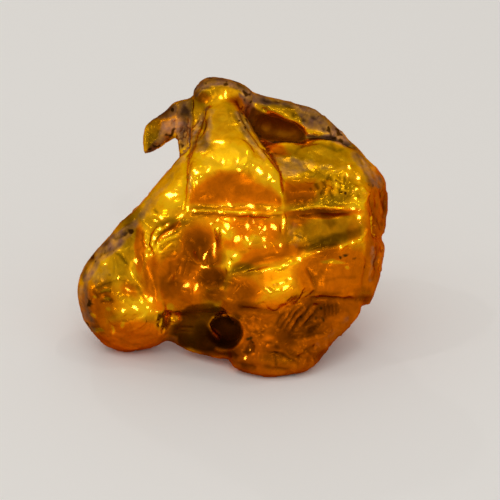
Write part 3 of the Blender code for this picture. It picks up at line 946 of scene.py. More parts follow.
# %% Where stones struck
SMOOTH_PARTS = [
    ((222, 128), (22, 44)), ((236, 184), (50, 28)), ((172, 192), (30, 30)), ((318, 150), (50, 16)),
    ((335, 276), (40, 22)), ((278, 284), (26, 16)), ((106, 270), (22, 16)), ((330, 228), (40, 14)),
    ((272, 130), (30, 20)), ((226, 332), (20, 18)), ((197, 246), (18, 20)), ((165, 250), (16, 16)),
    ((160, 210), (20, 16)), ((152, 278), (12, 24)),
]
COARSE_CELLS = [
    ([((300, 358), (60, 16), -14)], False, 0.9, 0.45),
    ([((300, 335), (80, 44), -5)], True, 1.3, 0.30),
    ([((128, 330), (50, 24)), ((86, 300), (14, 40))], False, 1.2, 0.25),
    ([((320, 118), (46, 14), 30)], False, 0.9, 0.40),
    ([((170, 125), (30, 30))], False, 0.9, 0.35),
    ([((380, 230), (12, 60))], False, 1.0, 0.40),
]
FINE_CELLS = [
    ([((246, 233), (42, 17))], False, 0.75, 0.35),
    ([((356, 190), (12, 26))], False, 0.7, 0.6),
    ([((128, 304), (26, 18))], False, 0.9, 0.35),
    ([((341, 262), (26, 10))], False, 0.7, 0.4),
    ([((332, 192), (16, 11))], False, 0.7, 0.5),
]
FRONT_CELL, FRONT_TILT = 1.5, 0.18
BACK_CELL, BACK_TILT = 2.3, 0.30
BACK_GAIN = 2.5

smooth = np.zeros(len(clay.place))
for spot in SMOOTH_PARTS:
    smooth = np.maximum(smooth, patch(*spot))
hammer((1 - smooth) * clay.seen, FRONT_CELL, FRONT_TILT)
hammer(np.clip(-BACK_GAIN * (clay.outward @ OUT), 0, 1), BACK_CELL, BACK_TILT)
for rows in (COARSE_CELLS, FINE_CELLS):
    for ovals, spared, size, tilt in rows:
        struck = sum(patch(*spot) for spot in ovals)
        hammer(struck * (1 - smooth) if spared else struck, size, tilt)
    clay.settle()
print(2 + len(COARSE_CELLS + FINE_CELLS), "patches hammered")

# %% [markdown]
# ## Flats that flash
# A small flat flashes when its direction lies halfway between the eye and a lamp. So
# each flat is cut in the direction that needs the least turning of the skin. Skin
# that is part of a flat already stays as it is, and a bulge rounds a flat like a wire.

# %% The smallest turn towards a lamp
LEAST_FACING = 0.3


def unit(vectors):
    return vectors / np.linalg.norm(vectors, axis=-1, keepdims=True)


def least_tilt(middle, normal):
    """The smallest change of a direction that makes it mirror a lamp."""
    tilts = []
    for lamp in SPARKS.values():
        halfway = unit(unit(EYE - middle) + unit(lamp - middle))
        tilts.append(halfway / max(halfway @ normal, LEAST_FACING) - normal)
    return min(tilts, key=np.linalg.norm)


# %% Cutting a flat that mirrors a lamp
STEEPEST = 0.6
# How far round a flat, in millimetres, the paler painted halo reaches.
HALO_REACH = 0.9
FLAT_REACH = 1.8
FLAT_DEPTH = 0.3
FEWEST_POINTS = 4
OUT_OF_REACH = 90.0


def flash(x, y, radius, stretch=1.3, turn=None, painted_halo=0.3, bulge=0.0, share=1.0):
    """Cuts a small flat and paints a paler halo round it, a painted highlight. A share of the
    turn only brings it near the lamp, for a soft glow without polish. Returns the degrees it was turned."""
    turn = (37 * x + 61 * y) % 180 if turn is None else turn
    gap_x, gap_y = clay.px + clay.warp_x - x, clay.py + clay.warp_y - y
    across, down = across_and_down(gap_x, gap_y, turn)
    away = np.hypot(across / stretch, down) / PIXELS_PER_MM
    clay.tone += painted_halo * bell(np.hypot(gap_x, gap_y) / PIXELS_PER_MM, HALO_REACH) * clay.seen
    pick = np.flatnonzero((away < FLAT_REACH * radius) & (clay.seen > 0.2))
    if len(pick) < FEWEST_POINTS:
        return OUT_OF_REACH
    core = bell(away[pick], radius)
    middle = np.average(clay.place[pick], axis=0, weights=core)
    normal = unit(np.average(clay.outward[pick], axis=0, weights=core))
    tilt = least_tilt(middle, normal)
    steepness = np.linalg.norm(tilt)
    if steepness < STEEPEST:
        facing = unit(normal + share * tilt)
        near = np.abs((clay.place[pick] - middle) @ normal) < 1.2 * radius + FLAT_DEPTH
        weight = np.clip(1.9 - 1.2 * away[pick] / radius, 0, 1) * near * (1 - clay.bright[pick])
        rise = (middle - clay.place[pick]) @ facing / np.maximum(clay.outward[pick] @ facing, 0.4)
        rise -= bulge * (down[pick] / PIXELS_PER_MM) ** 2
        clay.push(rise * weight, pick)
        if share == 1.0:
            clay.bright[pick] = np.maximum(clay.bright[pick], weight)
    return math.degrees(math.atan(steepness))


# %% [markdown]
# A few places are turned part of the way to a lamp, so they glow softly over a wider
# area, with a paler painted halo round them. They come first and the sharp flats are cut
# into them. A row has its place, radius in millimetres, stretch, turn and the share of the turn.

# %% Soft glows
GLOW_HALO, GLOW_BULGE = 0.2, 0.04
SOFT_GLOWS = [
    (226, 155, 1.2, 1.5, 0, 0.58),
    (281, 274, 0.8, 1.6, -20, 0.5),
    (224, 92, 0.5, 1.2, 90, 0.5),
    (229.5, 265, 0.35, 2.0, 90, 0.5),
]
for *spot, share in SOFT_GLOWS:
    flash(*spot, painted_halo=GLOW_HALO, bulge=GLOW_BULGE, share=share)
clay.settle()
print(len(SOFT_GLOWS), "soft glows")

# %% Sharp flats of the upper half
UPPER_FLATS = {
    "crown": [(225, 94, 0.22, 2.2, 90), (221, 97.5, 0.16, 1.6, 80), (229, 90.5, 0.16)],
    "spine": [(220, 142, 0.22, 3.0, -8), (222.5, 162, 0.22), (212, 158.5, 0.16)],
    "brow": [
        (259.5, 171, 0.36, 1.8, 30), (267.5, 175.8, 0.38, 1.6, 20), (273, 181, 0.26, 1.4, 45),
        (252.5, 165, 0.22), (196, 172, 0.32, 1.5, 80), (201, 177, 0.26), (197, 182.5, 0.28, 1.3, 50),
        (191.8, 177.5, 0.2, 2.0, 90), (207.7, 170.5, 0.22, 1.7, 90), (190, 186.5, 0.16),
        (237, 161.5, 0.24), (239.3, 169.3, 0.24), (280, 192, 0.15, 2.2, 80),
    ],
    "groove": [
        (230.5, 205, 0.30, 1.4, 60), (251, 206, 0.32, 1.6, 35), (225.6, 200.6, 0.18),
        (269, 209, 0.2, 2.0, -50), (276, 209.5, 0.2), (243, 206.5, 0.18), (200, 203.7, 0.16, 1.5, 0),
        (213, 203.7, 0.16, 2.0, 0), (220, 205, 0.16, 1.4, 0), (227, 209, 0.16),
    ],
    "shoulder": [
        (171.5, 195, 0.34, 2.6, -10), (176, 190.5, 0.2, 1.8, -15), (177, 198.5, 0.18), (164, 198, 0.2),
    ],
    "middle_roll": [
        (223.5, 232, 0.32, 1.2, 70), (219, 228.5, 0.28, 1.3, 20), (227.7, 226, 0.30, 1.6, 80),
        (211.3, 224, 0.24, 1.4, -50), (217.5, 220, 0.2, 1.6, -60), (231.8, 228, 0.24),
        (234.5, 219.5, 0.22), (226, 219.5, 0.18), (237, 238.5, 0.36, 1.3, -20),
        (247.2, 226, 0.30, 1.4, 80), (252.7, 222.5, 0.22, 1.5, -35), (246.5, 238, 0.34),
        (250, 242.7, 0.34), (254.3, 237.5, 0.28, 1.3, -50), (259, 228, 0.22),
        (264.6, 228.5, 0.28, 1.4, 80), (262, 232.3, 0.22, 1.4, -20), (263.5, 238.7, 0.26),
        (264.7, 245.6, 0.32), (273, 227.2, 0.40, 1.2, 30), (280.3, 245.2, 0.25), (242.8, 248, 0.22),
    ],
}

# %% Sharp flats of the lower half
LOWER_FLATS = {
    "saddle": [(186, 285.6, 0.24, 1.8, -28), (194, 277.5, 0.18), (234.3, 255.5, 0.32)],
    "petal": [(136, 261, 0.24, 1.6, 80), (159, 243, 0.18), (152, 245, 0.16), (146, 240, 0.18)],
    "lower_roll": [
        (299.3, 259, 0.28), (281.5, 283.6, 0.25, 1.8, -31), (289, 279.2, 0.23, 1.8, -30),
        (285.4, 288.2, 0.25, 2.3, -36), (275.8, 285.5, 0.22, 1.5, 40), (276.4, 289.8, 0.2, 1.5, 50),
        (268.3, 290.6, 0.27, 2.0, 57), (265.3, 293, 0.15), (258, 303.5, 0.16),
        (319, 252, 0.16, 1.8, -18),
    ],
    "cheek": [
        (349, 168, 0.26), (347, 175, 0.2), (358, 178, 0.24), (354, 192, 0.2), (357, 188.5, 0.2),
        (362.5, 189, 0.18), (366, 194, 0.18), (355, 198, 0.2), (352, 209, 0.26, 1.6, 0),
        (358.5, 210, 0.22), (359, 217, 0.3), (360.5, 222.5, 0.2),
    ],
    "lobe": [
        (136, 308, 0.36), (123, 310, 0.26), (152, 298.5, 0.30), (147, 297, 0.18), (148, 307.5, 0.22),
        (151.5, 311, 0.2), (156.5, 311, 0.22), (132, 273, 0.22), (128, 289, 0.26), (118, 278.5, 0.18),
        (105, 264, 0.2), (142, 316, 0.2, 2.6, -42), (140.5, 302, 0.18),
    ],
    "cheek_edge": [(340, 247, 0.2), (353, 242, 0.2), (359, 239.5, 0.18)],
    "foot": [(245, 358.5, 0.22), (249, 350, 0.16, 1.6, 90)],
}
turns = []
for spots in (UPPER_FLATS | LOWER_FLATS).values():
    turns += [flash(*spot) for spot in spots]
print(len(turns), "flats, turned by", round(np.mean(turns)), "degrees on average")

# %% [markdown]
# Where a fold was rubbed, it shines along a line. Such a line is a row of small
# rounded flats, one for each stretch of its path, with a paler painted highlight along it.

# %% Shining folds
WIRE_RADIUS = 0.2
WIRE_BULGE = 0.25
WIRE_HALO = 0.05
WIRE_TONE = 0.35
SHINING_FOLDS = [
    [(170, 223.6), (164.5, 226.8)], [(164, 227), (157.5, 231.4)], [(154.5, 235), (152, 244)],
    [(146, 235), (146, 246.5)], [(145.6, 250), (150, 249.6)], [(145.2, 252), (146.8, 255.8)],
    [(147, 256.3), (152.5, 254.8)], [(174.5, 229.7), (162, 237.6)], [(159.3, 215.5), (162, 219.5)],
    [(153.5, 221.3), (158.5, 221.5)], [(187.8, 204), (188, 210)], [(184, 213.5), (177, 219)],
    [(215.5, 240), (214.7, 252)], [(207.5, 250.5), (204.2, 260)], [(200.5, 266.6), (207.5, 266.8)],
    [(198.8, 283.5), (194.5, 293)], [(195, 294), (199.5, 292.3)], [(190, 211), (200, 211)],
    [(216, 211.5), (223, 211.5)], [(239, 213), (246, 212.3)], [(248, 212.6), (257, 213)],
    [(282.7, 217.5), (282.8, 230)], [(262, 271.3), (275, 268.2)], [(277, 267.8), (291, 262.8)],
    [(229.6, 259), (228.6, 270)],
]


def gleam(path):
    """Rounded flats along a path, one for each part of it, so that a fold shines, with a painted
    highlight line along it.
    """
    line(path, THINNEST, WIRE_TONE, 0)
    for a, b in zip(path, path[1:]):
        turn = math.degrees(math.atan2(b[1] - a[1], b[0] - a[0]))
        stretch = max(1.0, math.dist(a, b) / PIXELS_PER_MM / 1.5 / WIRE_RADIUS)
        flash((a[0] + b[0]) / 2, (a[1] + b[1]) / 2, WIRE_RADIUS, stretch, turn, WIRE_HALO, WIRE_BULGE)


for path in SHINING_FOLDS:
    gleam(path)
print(len(SHINING_FOLDS), "shining folds")

# %% [markdown]
# The rim of each flat is rounded, and the skin between them is rubbed smooth, so that
# only the flats flash. Last, a flat keeps its polish and its fresh colour, a painted
# highlight, only where it mirrors a lamp.

# %% Smooth gold round the flats
RIM_SPREAD = 3
RIM_ROUNDS = 4
RIM_SHARE = 0.6
BETWEEN_FLATS = [
    ([(203, 222), (212, 222), (224, 232), (228, 250), (220, 254), (208, 238)], 16),
    ([(224, 250), (232, 250), (232, 282), (226, 282)], 16),
    ([(210, 224), (220, 228), (226, 246), (214, 248)], 16),
    ([(132, 254), (147, 254), (152, 294), (140, 294)], 16),
    ([(236, 170), (252, 172), (248, 186), (232, 204), (226, 200), (232, 180)], 16),
    ([(286, 214), (350, 211), (350, 217), (300, 221)], 16),
    ([(236, 266), (290, 250), (292, 258), (240, 273)], 16),
    ([(271, 150), (279, 150), (288, 190), (288, 214), (281, 214)], 16),
    ([(207, 220), (220, 224), (230, 244), (224, 258), (212, 252)], 60),
    ([(146, 255), (160, 254), (172, 268), (172, 306), (156, 302), (150, 292)], 40),
]
average = averager(clay.mesh)
around = (clay.bright > 0).astype(float)
for _ in range(RIM_SPREAD):
    around = average(around)
for _ in range(RIM_ROUNDS):
    share = RIM_SHARE * np.clip(2 * around, 0, 1) * (1 - clay.bright)
    clay.place += share[:, None] * (average(clay.place) - clay.place)
for corners, rounds in BETWEEN_FLATS:
    soften(corners, rounds)
clay.settle()
print(len(BETWEEN_FLATS), "places rubbed smooth")

# %% Polish only where a lamp is mirrored
HIT = math.radians(2.5)
MISS = math.radians(6)


def mirrored():
    """1 where the skin mirrors a lamp into the eye, 0 where it clearly misses."""
    closest = np.zeros(len(clay.place))
    to_eye = unit(EYE - clay.place)
    for lamp in SPARKS.values():
        halfway = unit(to_eye + unit(lamp - clay.place))
        closest = np.maximum(closest, np.sum(halfway * clay.outward, axis=1))
    return np.clip((closest - math.cos(MISS)) / (math.cos(HIT) - math.cos(MISS)), 0, 1)


clay.bright *= mirrored()
print(int((clay.bright > 0.5).sum()), "polished points")

# %% [markdown]
# The rest of the nugget was never drawn, so its wear is measured: a point that stands
# above the smoothed skin is a crest, and crests are rubbed bright.

# %% Rubbed crests where the eye doesn't see
CREST_ROUNDS = 14
CREST_HEIGHT = 0.10
CREST_POLISH = 0.42
CREST_TONE = 0.45
level = clay.place
for _ in range(CREST_ROUNDS):
    level = average(level)
height = np.sum((clay.place - level) * clay.outward, axis=1)
crests = np.clip(height / CREST_HEIGHT, 0, 1) * (1 - clay.seen)
clay.bright = np.maximum(clay.bright, CREST_POLISH * crests)
clay.tone += CREST_TONE * crests
print(round(float(crests.mean()), 2), "of the rest is rubbed")

# %% [markdown]
# ## The finished skin
# The skin now stands in for the solid, which is hidden. It rides on the same body, and
# smooth shading hides the small faces.

# %% The skin takes the solid's place
for face in nugget.data.polygons:
    face.use_smooth = True
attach(nugget, "root")
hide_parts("nugget")

# %% [markdown]
# ## Colours that follow the shape
# Old gold isn't one colour, and here the colour also carries painted light and shade. It is
# yellow gold where nothing else lies; low places are a darker deep fiery orange, painted shade;
# a thin mauve film covers the rims that were never touched, and along the outline it is also a
# painted reflection; the hollows are painted dark as shade, and dirt lies in specks. Each is a
# value on the skin's points, from 0 to 1.

# %% Painting tools
PAINT_WARP = 2.5


def band(path, width):
    """1 on a path, falling to 0 over a width in millimetres."""
    pick, gap, _, way = near_path(path, 2.5 * width)
    value = np.zeros(len(clay.place))
    value[pick] = bell(gap, width) * fade(way, 0.1)
    return value


def oval(centre, radii, turn=0.0, edge=0.5):
    """1 inside an oval of the picture, 0 outside, with a wavy soft edge."""
    x = clay.px + PAINT_WARP * clay.warp_x - centre[0]
    y = clay.py + PAINT_WARP * clay.warp_y - centre[1]
    across, down = across_and_down(x, y, turn)
    away = np.hypot(across / radii[0], down / radii[1])
    return np.clip((1 + edge / 2 - away) / edge, 0, 1) * (clay.seen > 0.02)


def layered(*layers):
    """The strongest of several values at each point."""
    return np.clip(np.max(layers, axis=0), 0, 1)


def painted(rows):
    """The strongest of several shapes. A row has a share, a tool and the tool's values."""
    return layered(*[share * tool(*how) for share, tool, *how in rows])


def keep_on_skin(name, value, most=1.0):
    """Stores a value on the skin's points, where a material can read it."""
    found = nugget.data.attributes.new(name, "FLOAT", "POINT")
    found.data.foreach_set("value", np.clip(value, 0, most).astype(np.float32))
    print(name, "is", round(float(value.mean()), 2), "on average")


# %% [markdown]
# Broad shades come first. They are painted shade and painted highlight, for the dark and
# bright things that old gold mirrors. A row has the centre and the radii of an oval, how many
# doublings of the brightness it adds, and the turn of the oval where it has one.

# %% Shades of the upper half
UPPER_SHADES = {
    "crown": [
        (214, 82, 34, 10, -0.35, 5), (198, 102, 8, 7, -1.2), (216, 93, 13, 6, -0.5),
        (247, 90, 8, 6, 0.7), (232, 102, 8, 6, -0.7),
    ],
    "spine": [
        (224, 120, 12, 26, -0.35), (200, 122, 12, 22, -0.20), (228, 156, 26, 11, 0.50),
        (258, 144, 22, 6, 0.30, 52), (198, 133, 6, 12, 0.7), (246, 127, 5, 9, -0.7),
        (209, 150, 7, 7, -0.5), (186, 161, 5, 10, 0.6), (226, 157, 14, 9, 0.4), (208, 152, 8, 7, -0.5),
        (209, 150, 7, 6, -0.4), (198, 150, 7, 6, 0.7),
    ],
    "brow": [
        (271, 145, 9, 8, 0.8), (280, 179, 7, 13, 0.9), (214, 200, 19, 6, -0.7), (236, 210, 50, 5, -0.6),
        (200, 211, 12, 5, -0.6), (245, 176, 7, 7, -0.3), (199, 210, 9, 4, -0.5), (282, 151, 8, 5, -0.5),
        (257, 186, 8, 7, 0.4), (244, 175, 6, 6, -0.4), (282, 199, 6, 6, -0.5), (210, 210, 14, 4, -0.3),
    ],
    "ear": [
        (160, 132, 18, 22, -0.50, 30), (160, 114, 20, 7, -1.1, -28), (187, 109, 7, 9, -0.7),
        (176, 126, 11, 9, 1.1), (150, 140, 6, 8, -0.7), (174, 134, 8, 6, -0.6), (186, 114, 6, 6, -0.6),
        (186, 139, 6, 7, 0.5), (174, 126, 7, 7, 0.6),
    ],
    "shoulder": [
        (168, 206, 16, 9, 0.20, -30), (132, 216, 10, 8, -1.2, -30), (178, 222, 14, 6, -1.0),
        (125, 222, 8, 8, -0.8, -30), (165, 222, 20, 5, -0.3), (162, 222, 10, 5, -0.5),
    ],
    "rim": [
        (316, 114, 40, 12, -0.65, 28), (284, 112, 22, 7, -0.70, 20), (276, 126, 24, 14, 0.25, 20),
        (280, 130, 26, 14, 0.55, 12), (343, 138, 7, 7, 1.2), (268, 102, 10, 4, -0.7, 10),
        (331, 127, 8, 7, 0.7), (268, 140, 7, 5, 0.5, 30), (313, 138, 12, 3, -0.8),
        (318, 138, 9, 3, -0.6), (268, 102, 7, 3, -0.4, 10),
    ],
    "cheek": [
        (356, 180, 11, 20, -0.80), (332, 165, 20, 5, -0.25), (322, 152, 34, 10, -0.35),
        (296, 168, 26, 9, -0.15), (300, 192, 20, 13, -0.35), (332, 190, 18, 14, -0.35),
        (338, 187, 9, 9, 1.1), (315, 205, 24, 7, -1.1), (341, 200, 9, 6, -0.7), (316, 173, 12, 5, -0.7),
        (354, 191, 7, 9, -0.5), (318, 211, 20, 5, -0.5), (294, 160, 12, 8, -0.6),
        (348, 191, 10, 9, -0.3), (341, 186, 6, 6, 0.6),
    ],
}

# %% Shades of the lower half
LOWER_SHADES = {
    "petal": [(166, 244, 14, 16, 0.45), (168, 250, 18, 16, -0.35), (166, 230, 16, 8, -0.4, -30)],
    "lobe": [
        (108, 272, 26, 14, -0.60, -10), (120, 302, 34, 22, -0.50), (131, 246, 10, 22, -0.45, -20),
        (86, 296, 8, 32, 0.35), (124, 338, 44, 14, 0.35), (120, 240, 34, 8, -0.35, -38),
        (137, 234, 6, 7, -0.7), (124, 236, 6, 7, 0.6), (114, 246, 8, 6, 0.8, -30),
        (114, 320, 10, 7, -0.6), (146, 252, 5, 8, 0.4), (102, 257, 7, 6, 0.6), (90, 270, 6, 8, 1.0),
        (102, 329, 8, 8, -0.5),
    ],
    "saddle": [
        (197, 248, 18, 18, -0.60), (212, 278, 13, 12, -0.70, 20), (178, 284, 20, 24, -0.50),
        (154, 276, 8, 20, -0.25), (196, 246, 16, 18, -0.35), (222, 234, 8, 7, 0.6),
        (211, 258, 13, 7, -0.9), (214, 295, 11, 7, -1.3), (218, 237, 4, 10, 0.9, -20),
        (222, 258, 7, 6, -0.5), (162, 282, 7, 7, -0.4), (198, 282, 6, 6, -0.4),
    ],
    "rolls": [
        (246, 232, 44, 18, -0.35), (240, 293, 20, 14, -0.55), (240, 270, 15, 6, -1.2, -5),
        (226, 280, 9, 7, -0.9), (250, 222, 14, 6, -0.4), (253, 270, 12, 5, -0.4, -5),
        (250, 270, 12, 5, -0.5, -5), (246, 294, 8, 6, -0.4), (258, 246, 8, 6, -0.5),
        (318, 276, 9, 9, -0.6),
    ],
    "lower_cheek": [
        (330, 228, 44, 16, -0.32, -8), (294, 236, 14, 20, -0.40), (324, 247, 13, 6, -1.7, -15),
        (324, 258, 13, 6, -0.6, -15), (340, 238, 12, 6, -0.6, -15), (331, 246, 7, 5, -0.6),
        (354, 247, 7, 5, -0.4), (294, 247, 8, 6, -0.5),
    ],
    "tip": [
        (370, 172, 22, 8, 0.45, 45), (378, 210, 12, 36, -0.40), (366, 268, 12, 26, -0.30, 10),
        (366, 168, 7, 11, 0.7, -30), (366, 294, 9, 7, -1.0), (380, 240, 6, 24, 0.5),
    ],
    "ledge": [
        (200, 328, 34, 24, -0.60, 10), (208, 345, 34, 8, -1.7, 8), (176, 336, 14, 8, -0.5),
        (228, 306, 20, 6, -0.6), (164, 321, 7, 11, 1.4), (235, 318, 7, 5, -1.5),
        (250, 312, 12, 9, -0.6), (204, 331, 9, 7, -0.9), (210, 354, 9, 5, -1.1),
        (236, 356, 15, 6, -0.6), (234, 318, 6, 5, -0.7), (165, 324, 7, 10, 0.6),
        (204, 331, 14, 8, -0.4), (246, 366, 8, 5, -0.8), (163, 329, 6, 7, 0.8), (150, 318, 7, 5, -0.5),
        (174, 331, 6, 5, -0.5),
    ],
    "foot": [
        (262, 326, 30, 20, -0.25), (316, 316, 34, 20, -0.70), (286, 356, 50, 18, -0.35, -10),
        (356, 308, 18, 10, -0.50, -20), (284, 306, 8, 6, 0.8), (336, 318, 10, 6, 0.6),
        (286, 338, 13, 9, -0.8), (269, 342, 7, 6, 0.7), (320, 354, 8, 6, -0.6), (330, 322, 9, 10, 0.4),
        (282, 352, 9, 6, -0.5), (285, 333, 10, 8, -0.4), (324, 300, 12, 8, -0.3),
        (356, 309, 12, 8, 0.4), (338, 337, 8, 9, -0.3, -40), (279, 360, 16, 6, -0.3, 5),
        (270, 342, 7, 5, 0.4), (306, 330, 8, 6, -0.5),
    ],
}

# %% Painting the shades
SHADE_EDGE = 0.9
HIDDEN_SHADE_SIZE = 3.0


def shade(x, y, wide, high, tone, turn=0.0):
    clay.tone += tone * oval((x, y), (wide, high), turn, SHADE_EDGE)


spots = [spot for spots in (UPPER_SHADES | LOWER_SHADES).values() for spot in spots]
for spot in spots:
    shade(*spot)
unseen = 1 - clay.seen
clay.tone += (0.9 * noise_at(clay.place, HIDDEN_SHADE_SIZE, 41.0) - 0.1) * unseen
print(len(spots), "shades")

# %% [markdown]
# Three sharp edges get a paler painted highlight and stay yellow: the lip of the groove
# under the brow, the lip of the groove under the cheek, and the right edge of the brow.

# %% Yellow edges and spots
BROW_LIP = [(189, 211), (215, 211), (240, 212), (262, 213)]
CHEEK_LIP = [(288, 211), (300, 208.5), (316, 206), (334, 208), (350, 209)]
BROW_EDGE = [(274, 156), (280, 172), (283, 190), (284, 212)]
for path, width, tone in ((BROW_LIP, 0.08, 0.9), (CHEEK_LIP, 0.08, 1.4), (BROW_EDGE, 0.2, 0.7)):
    clay.tone += tone * band(path, width)
YELLOW_SPOTS = [
    (0.55, field, [(266, 352), (278, 353), (294, 358), (296, 366), (270, 368), (260, 360)], 8),
    (1.0, field, [(225, 252), (236, 252), (242, 256), (238, 262), (230, 268), (224, 266)], 6),
    (1.0, oval, (226, 232), (11, 6), 20, 0.9),
    (1.0, oval, (252, 241), (12, 5), 0, 0.9),
    (0.9, band, BROW_LIP, 0.12),
    (0.9, band, CHEEK_LIP, 0.10),
    (0.6, band, BROW_EDGE, 0.25),
    (1.0, oval, (99, 331), (6, 2.5), 10),
    (1.0, oval, (93, 315), (4, 2), 40),
    (1.0, oval, (113, 329), (2, 4)),
    (1.0, oval, (124, 325), (2, 4)),
    (1.0, oval, (334, 262), (12, 2.5), 4),
    (1.0, oval, (347, 268), (3, 2)),
    (1.0, oval, (170, 308), (4, 5)),
    (1.0, oval, (95, 297), (3, 2), 40),
    (1.0, oval, (106, 291), (4, 1.5)),
    (1.0, oval, (108, 299.5), (3, 1.5)),
    (1.0, oval, (108, 309), (3, 2)),
]
yellow = painted(YELLOW_SPOTS)
print("yellow is", round(float(yellow.mean()), 2), "on average")

# %% [markdown]
# Deep orange fills the low places, darker than the yellow: it is painted shade. On the
# hidden sides it follows the height, the skin that looks down and a slow noise.

# %% Where deep orange lies
EMBER_PLACES = [
    (0.40, field, [(196, 94), (206, 92), (211, 97), (207, 103), (199, 103)]),
    (0.60, field, [(227, 99), (240, 96), (250, 102), (255, 112), (250, 120), (240, 112)], 5),
    (0.60, field, [(186, 204), (191, 190), (205, 180), (221, 171), (240, 171), (255, 181), (272, 189),
         (284, 198), (284, 206)], 9),
    (0.45, oval, (236, 214), (48, 8), 0, 0.9),
    (0.55, oval, (214, 258), (10, 8), 0, 0.9),
    (0.65, oval, (216, 295), (15, 7), 0, 0.9),
    (0.50, oval, (129, 289), (10, 8), 0, 0.9),
    (0.50, oval, (157, 306), (8, 7), 0, 0.9),
    (0.50, oval, (298, 220), (12, 8), 0, 0.9),
    (0.35, oval, (354, 232), (8, 14), 0, 0.9),
    (0.17, oval, (326, 230), (42, 18), 0, 0.9),
    (0.25, oval, (322, 188), (12, 8), 0, 0.9),
    (0.30, oval, (172, 122), (20, 14), 0, 0.9),
    (0.60, oval, (246, 232), (42, 18), 0, 0.9),
    (0.70, oval, (200, 246), (22, 24), 0, 0.9),
    (0.75, oval, (182, 282), (28, 32), 0, 0.9),
    (0.90, oval, (212, 278), (13, 12), 0, 0.9),
    (0.60, oval, (153, 280), (12, 26), 0, 0.9),
    (0.70, field, [(157, 244), (160, 236), (167, 229), (180, 221), (182, 226), (172, 232), (162, 240)]),
    (0.95, oval, (124, 344), (54, 21), 0, 0.9),
    (0.75, oval, (92, 318), (14, 30), 0, 0.9),
    (0.45, oval, (104, 304), (14, 20), 0, 0.9),
    (0.65, oval, (242, 293), (20, 18), 0, 0.9),
    (0.35, oval, (278, 284), (32, 20), 0, 0.9),
    (0.60, oval, (268, 254), (40, 9), -10, 0.9),
    (0.75, field, [(282, 183), (298, 182), (314, 181), (316, 196), (308, 203), (286, 204)], 11),
    (0.65, field, [(262, 141), (280, 143), (290, 155), (276, 156), (266, 150)], 6),
    (0.80, oval, (322, 213), (40, 5), -3),
    (0.65, oval, (338, 274), (46, 28), -4),
    (0.85, oval, (285, 344), (84, 42), -4),
    (0.80, field, [(300, 296), (374, 294), (374, 302), (356, 318), (336, 342), (306, 334)], 6),
    (0.75, field, [(222, 298), (244, 303), (264, 305), (264, 313), (240, 318), (220, 312)], 6),
    (0.85, oval, (383, 240), (17, 76), 0, 0.7),
    (0.60, oval, (140, 250), (5, 26)),
]

# %% Deep orange
EMBER_HEIGHT, EMBER_FADE = 9.5, 6
YELLOW_SHARE = 0.85
blotches = noise_at(clay.place, 3.4, 21.0)
# Low skin and skin that looks down get more deep orange: painted shade.
low = np.clip((EMBER_HEIGHT - clay.place[:, 2]) / EMBER_FADE + 0.5 * blotches, 0, 1)
turned_down = np.clip(-clay.outward[:, 2] + 0.2, 0, 1)
hidden_ember = (0.10 + 0.5 * low + 0.3 * turned_down + 0.7 * blotches) * unseen
ember = layered(hidden_ember, painted(EMBER_PLACES))
keep_on_skin("ember", ember * (1 - YELLOW_SHARE * yellow))

# %% [markdown]
# The film lies on the rims and along old edges. Its bands along the outline are also a
# painted reflection, the pale mauve rim of grazing light. It breaks off at the ragged ledge
# over the pocket, so it is thinner there.

# %% Where the film lies
FILM_PLACES = [
    (0.95, field, [(192, 99), (192, 88), (198, 78), (225, 74), (250, 86), (254, 96), (247, 97),
         (240, 91), (228, 86), (212, 86), (202, 91), (198, 97)]),
    (0.8, field, [(176, 104), (184, 96), (193, 94), (193, 130), (188, 146), (178, 152), (176, 130)], 4),
    (0.9, field, [(147, 120), (160, 110), (177, 102), (177, 116), (162, 119), (150, 121)]),
    (0.9, field, [(162, 120), (176, 118), (177, 130), (166, 142), (150, 155), (146, 150), (158, 138)]),
    (0.6, field, [(188, 140), (206, 132), (210, 146), (206, 154), (190, 153)], 5),
    (0.7, band, [(212, 106), (209, 122), (206, 145)], 0.45),
    (0.8, band, [(210, 104), (201, 121), (189, 145)], 0.5),
    (0.6, band, [(188, 150), (168, 178), (150, 205), (134, 224)], 0.6),
    (0.5, band, [(189, 152), (190, 196)], 0.3),
    (0.9, field, [(138, 216), (112, 234), (90, 254), (80, 274), (84, 284), (92, 280), (102, 262),
         (116, 252), (126, 242), (140, 224)], 4),
    (0.75, band, [(80, 280), (79, 300), (84, 322), (96, 338)], 0.9),
    (0.8, band, [(88, 268), (85, 290), (87, 308), (93, 326)], 0.4),
    (0.45, oval, (100, 274), (13, 12), -30, 0.9),
    (0.8, band, [(236, 106), (244, 128), (256, 146), (268, 162)], 0.5),
    (0.7, field, [(238, 92), (252, 96), (256, 110), (253, 122), (258, 136), (266, 145), (256, 144),
         (246, 130), (243, 116), (246, 106), (240, 98)], 4),
    (0.9, field, [(250, 92), (275, 96), (300, 102), (322, 110), (340, 128), (354, 146), (345, 147),
         (330, 141), (306, 138), (302, 120), (294, 110), (280, 106), (262, 104), (252, 102)], 4),
    (0.8, field, [(352, 144), (372, 164), (386, 182), (382, 190), (370, 188), (362, 172),
         (350, 156)], 5),
    (0.6, field, [(270, 153), (286, 157), (305, 160), (322, 161), (316, 168), (304, 173), (294, 177),
         (284, 178), (277, 168)], 5),
    (0.4, oval, (330, 166), (22, 6), 0, 0.9),
    (0.3, field, [(284, 222), (300, 219), (307, 240), (299, 252), (290, 246)], 6),
    (0.5, band, [(388, 190), (385, 230), (382, 270), (374, 296)], 0.35),
    (0.6, band, [(374, 244), (373, 262), (370, 284)], 0.3),
    (0.4, band, [(352, 314), (332, 334), (312, 354)], 0.4),
    (0.6, field, [(163, 338), (168, 336), (177, 337), (178, 346), (172, 345)]),
]

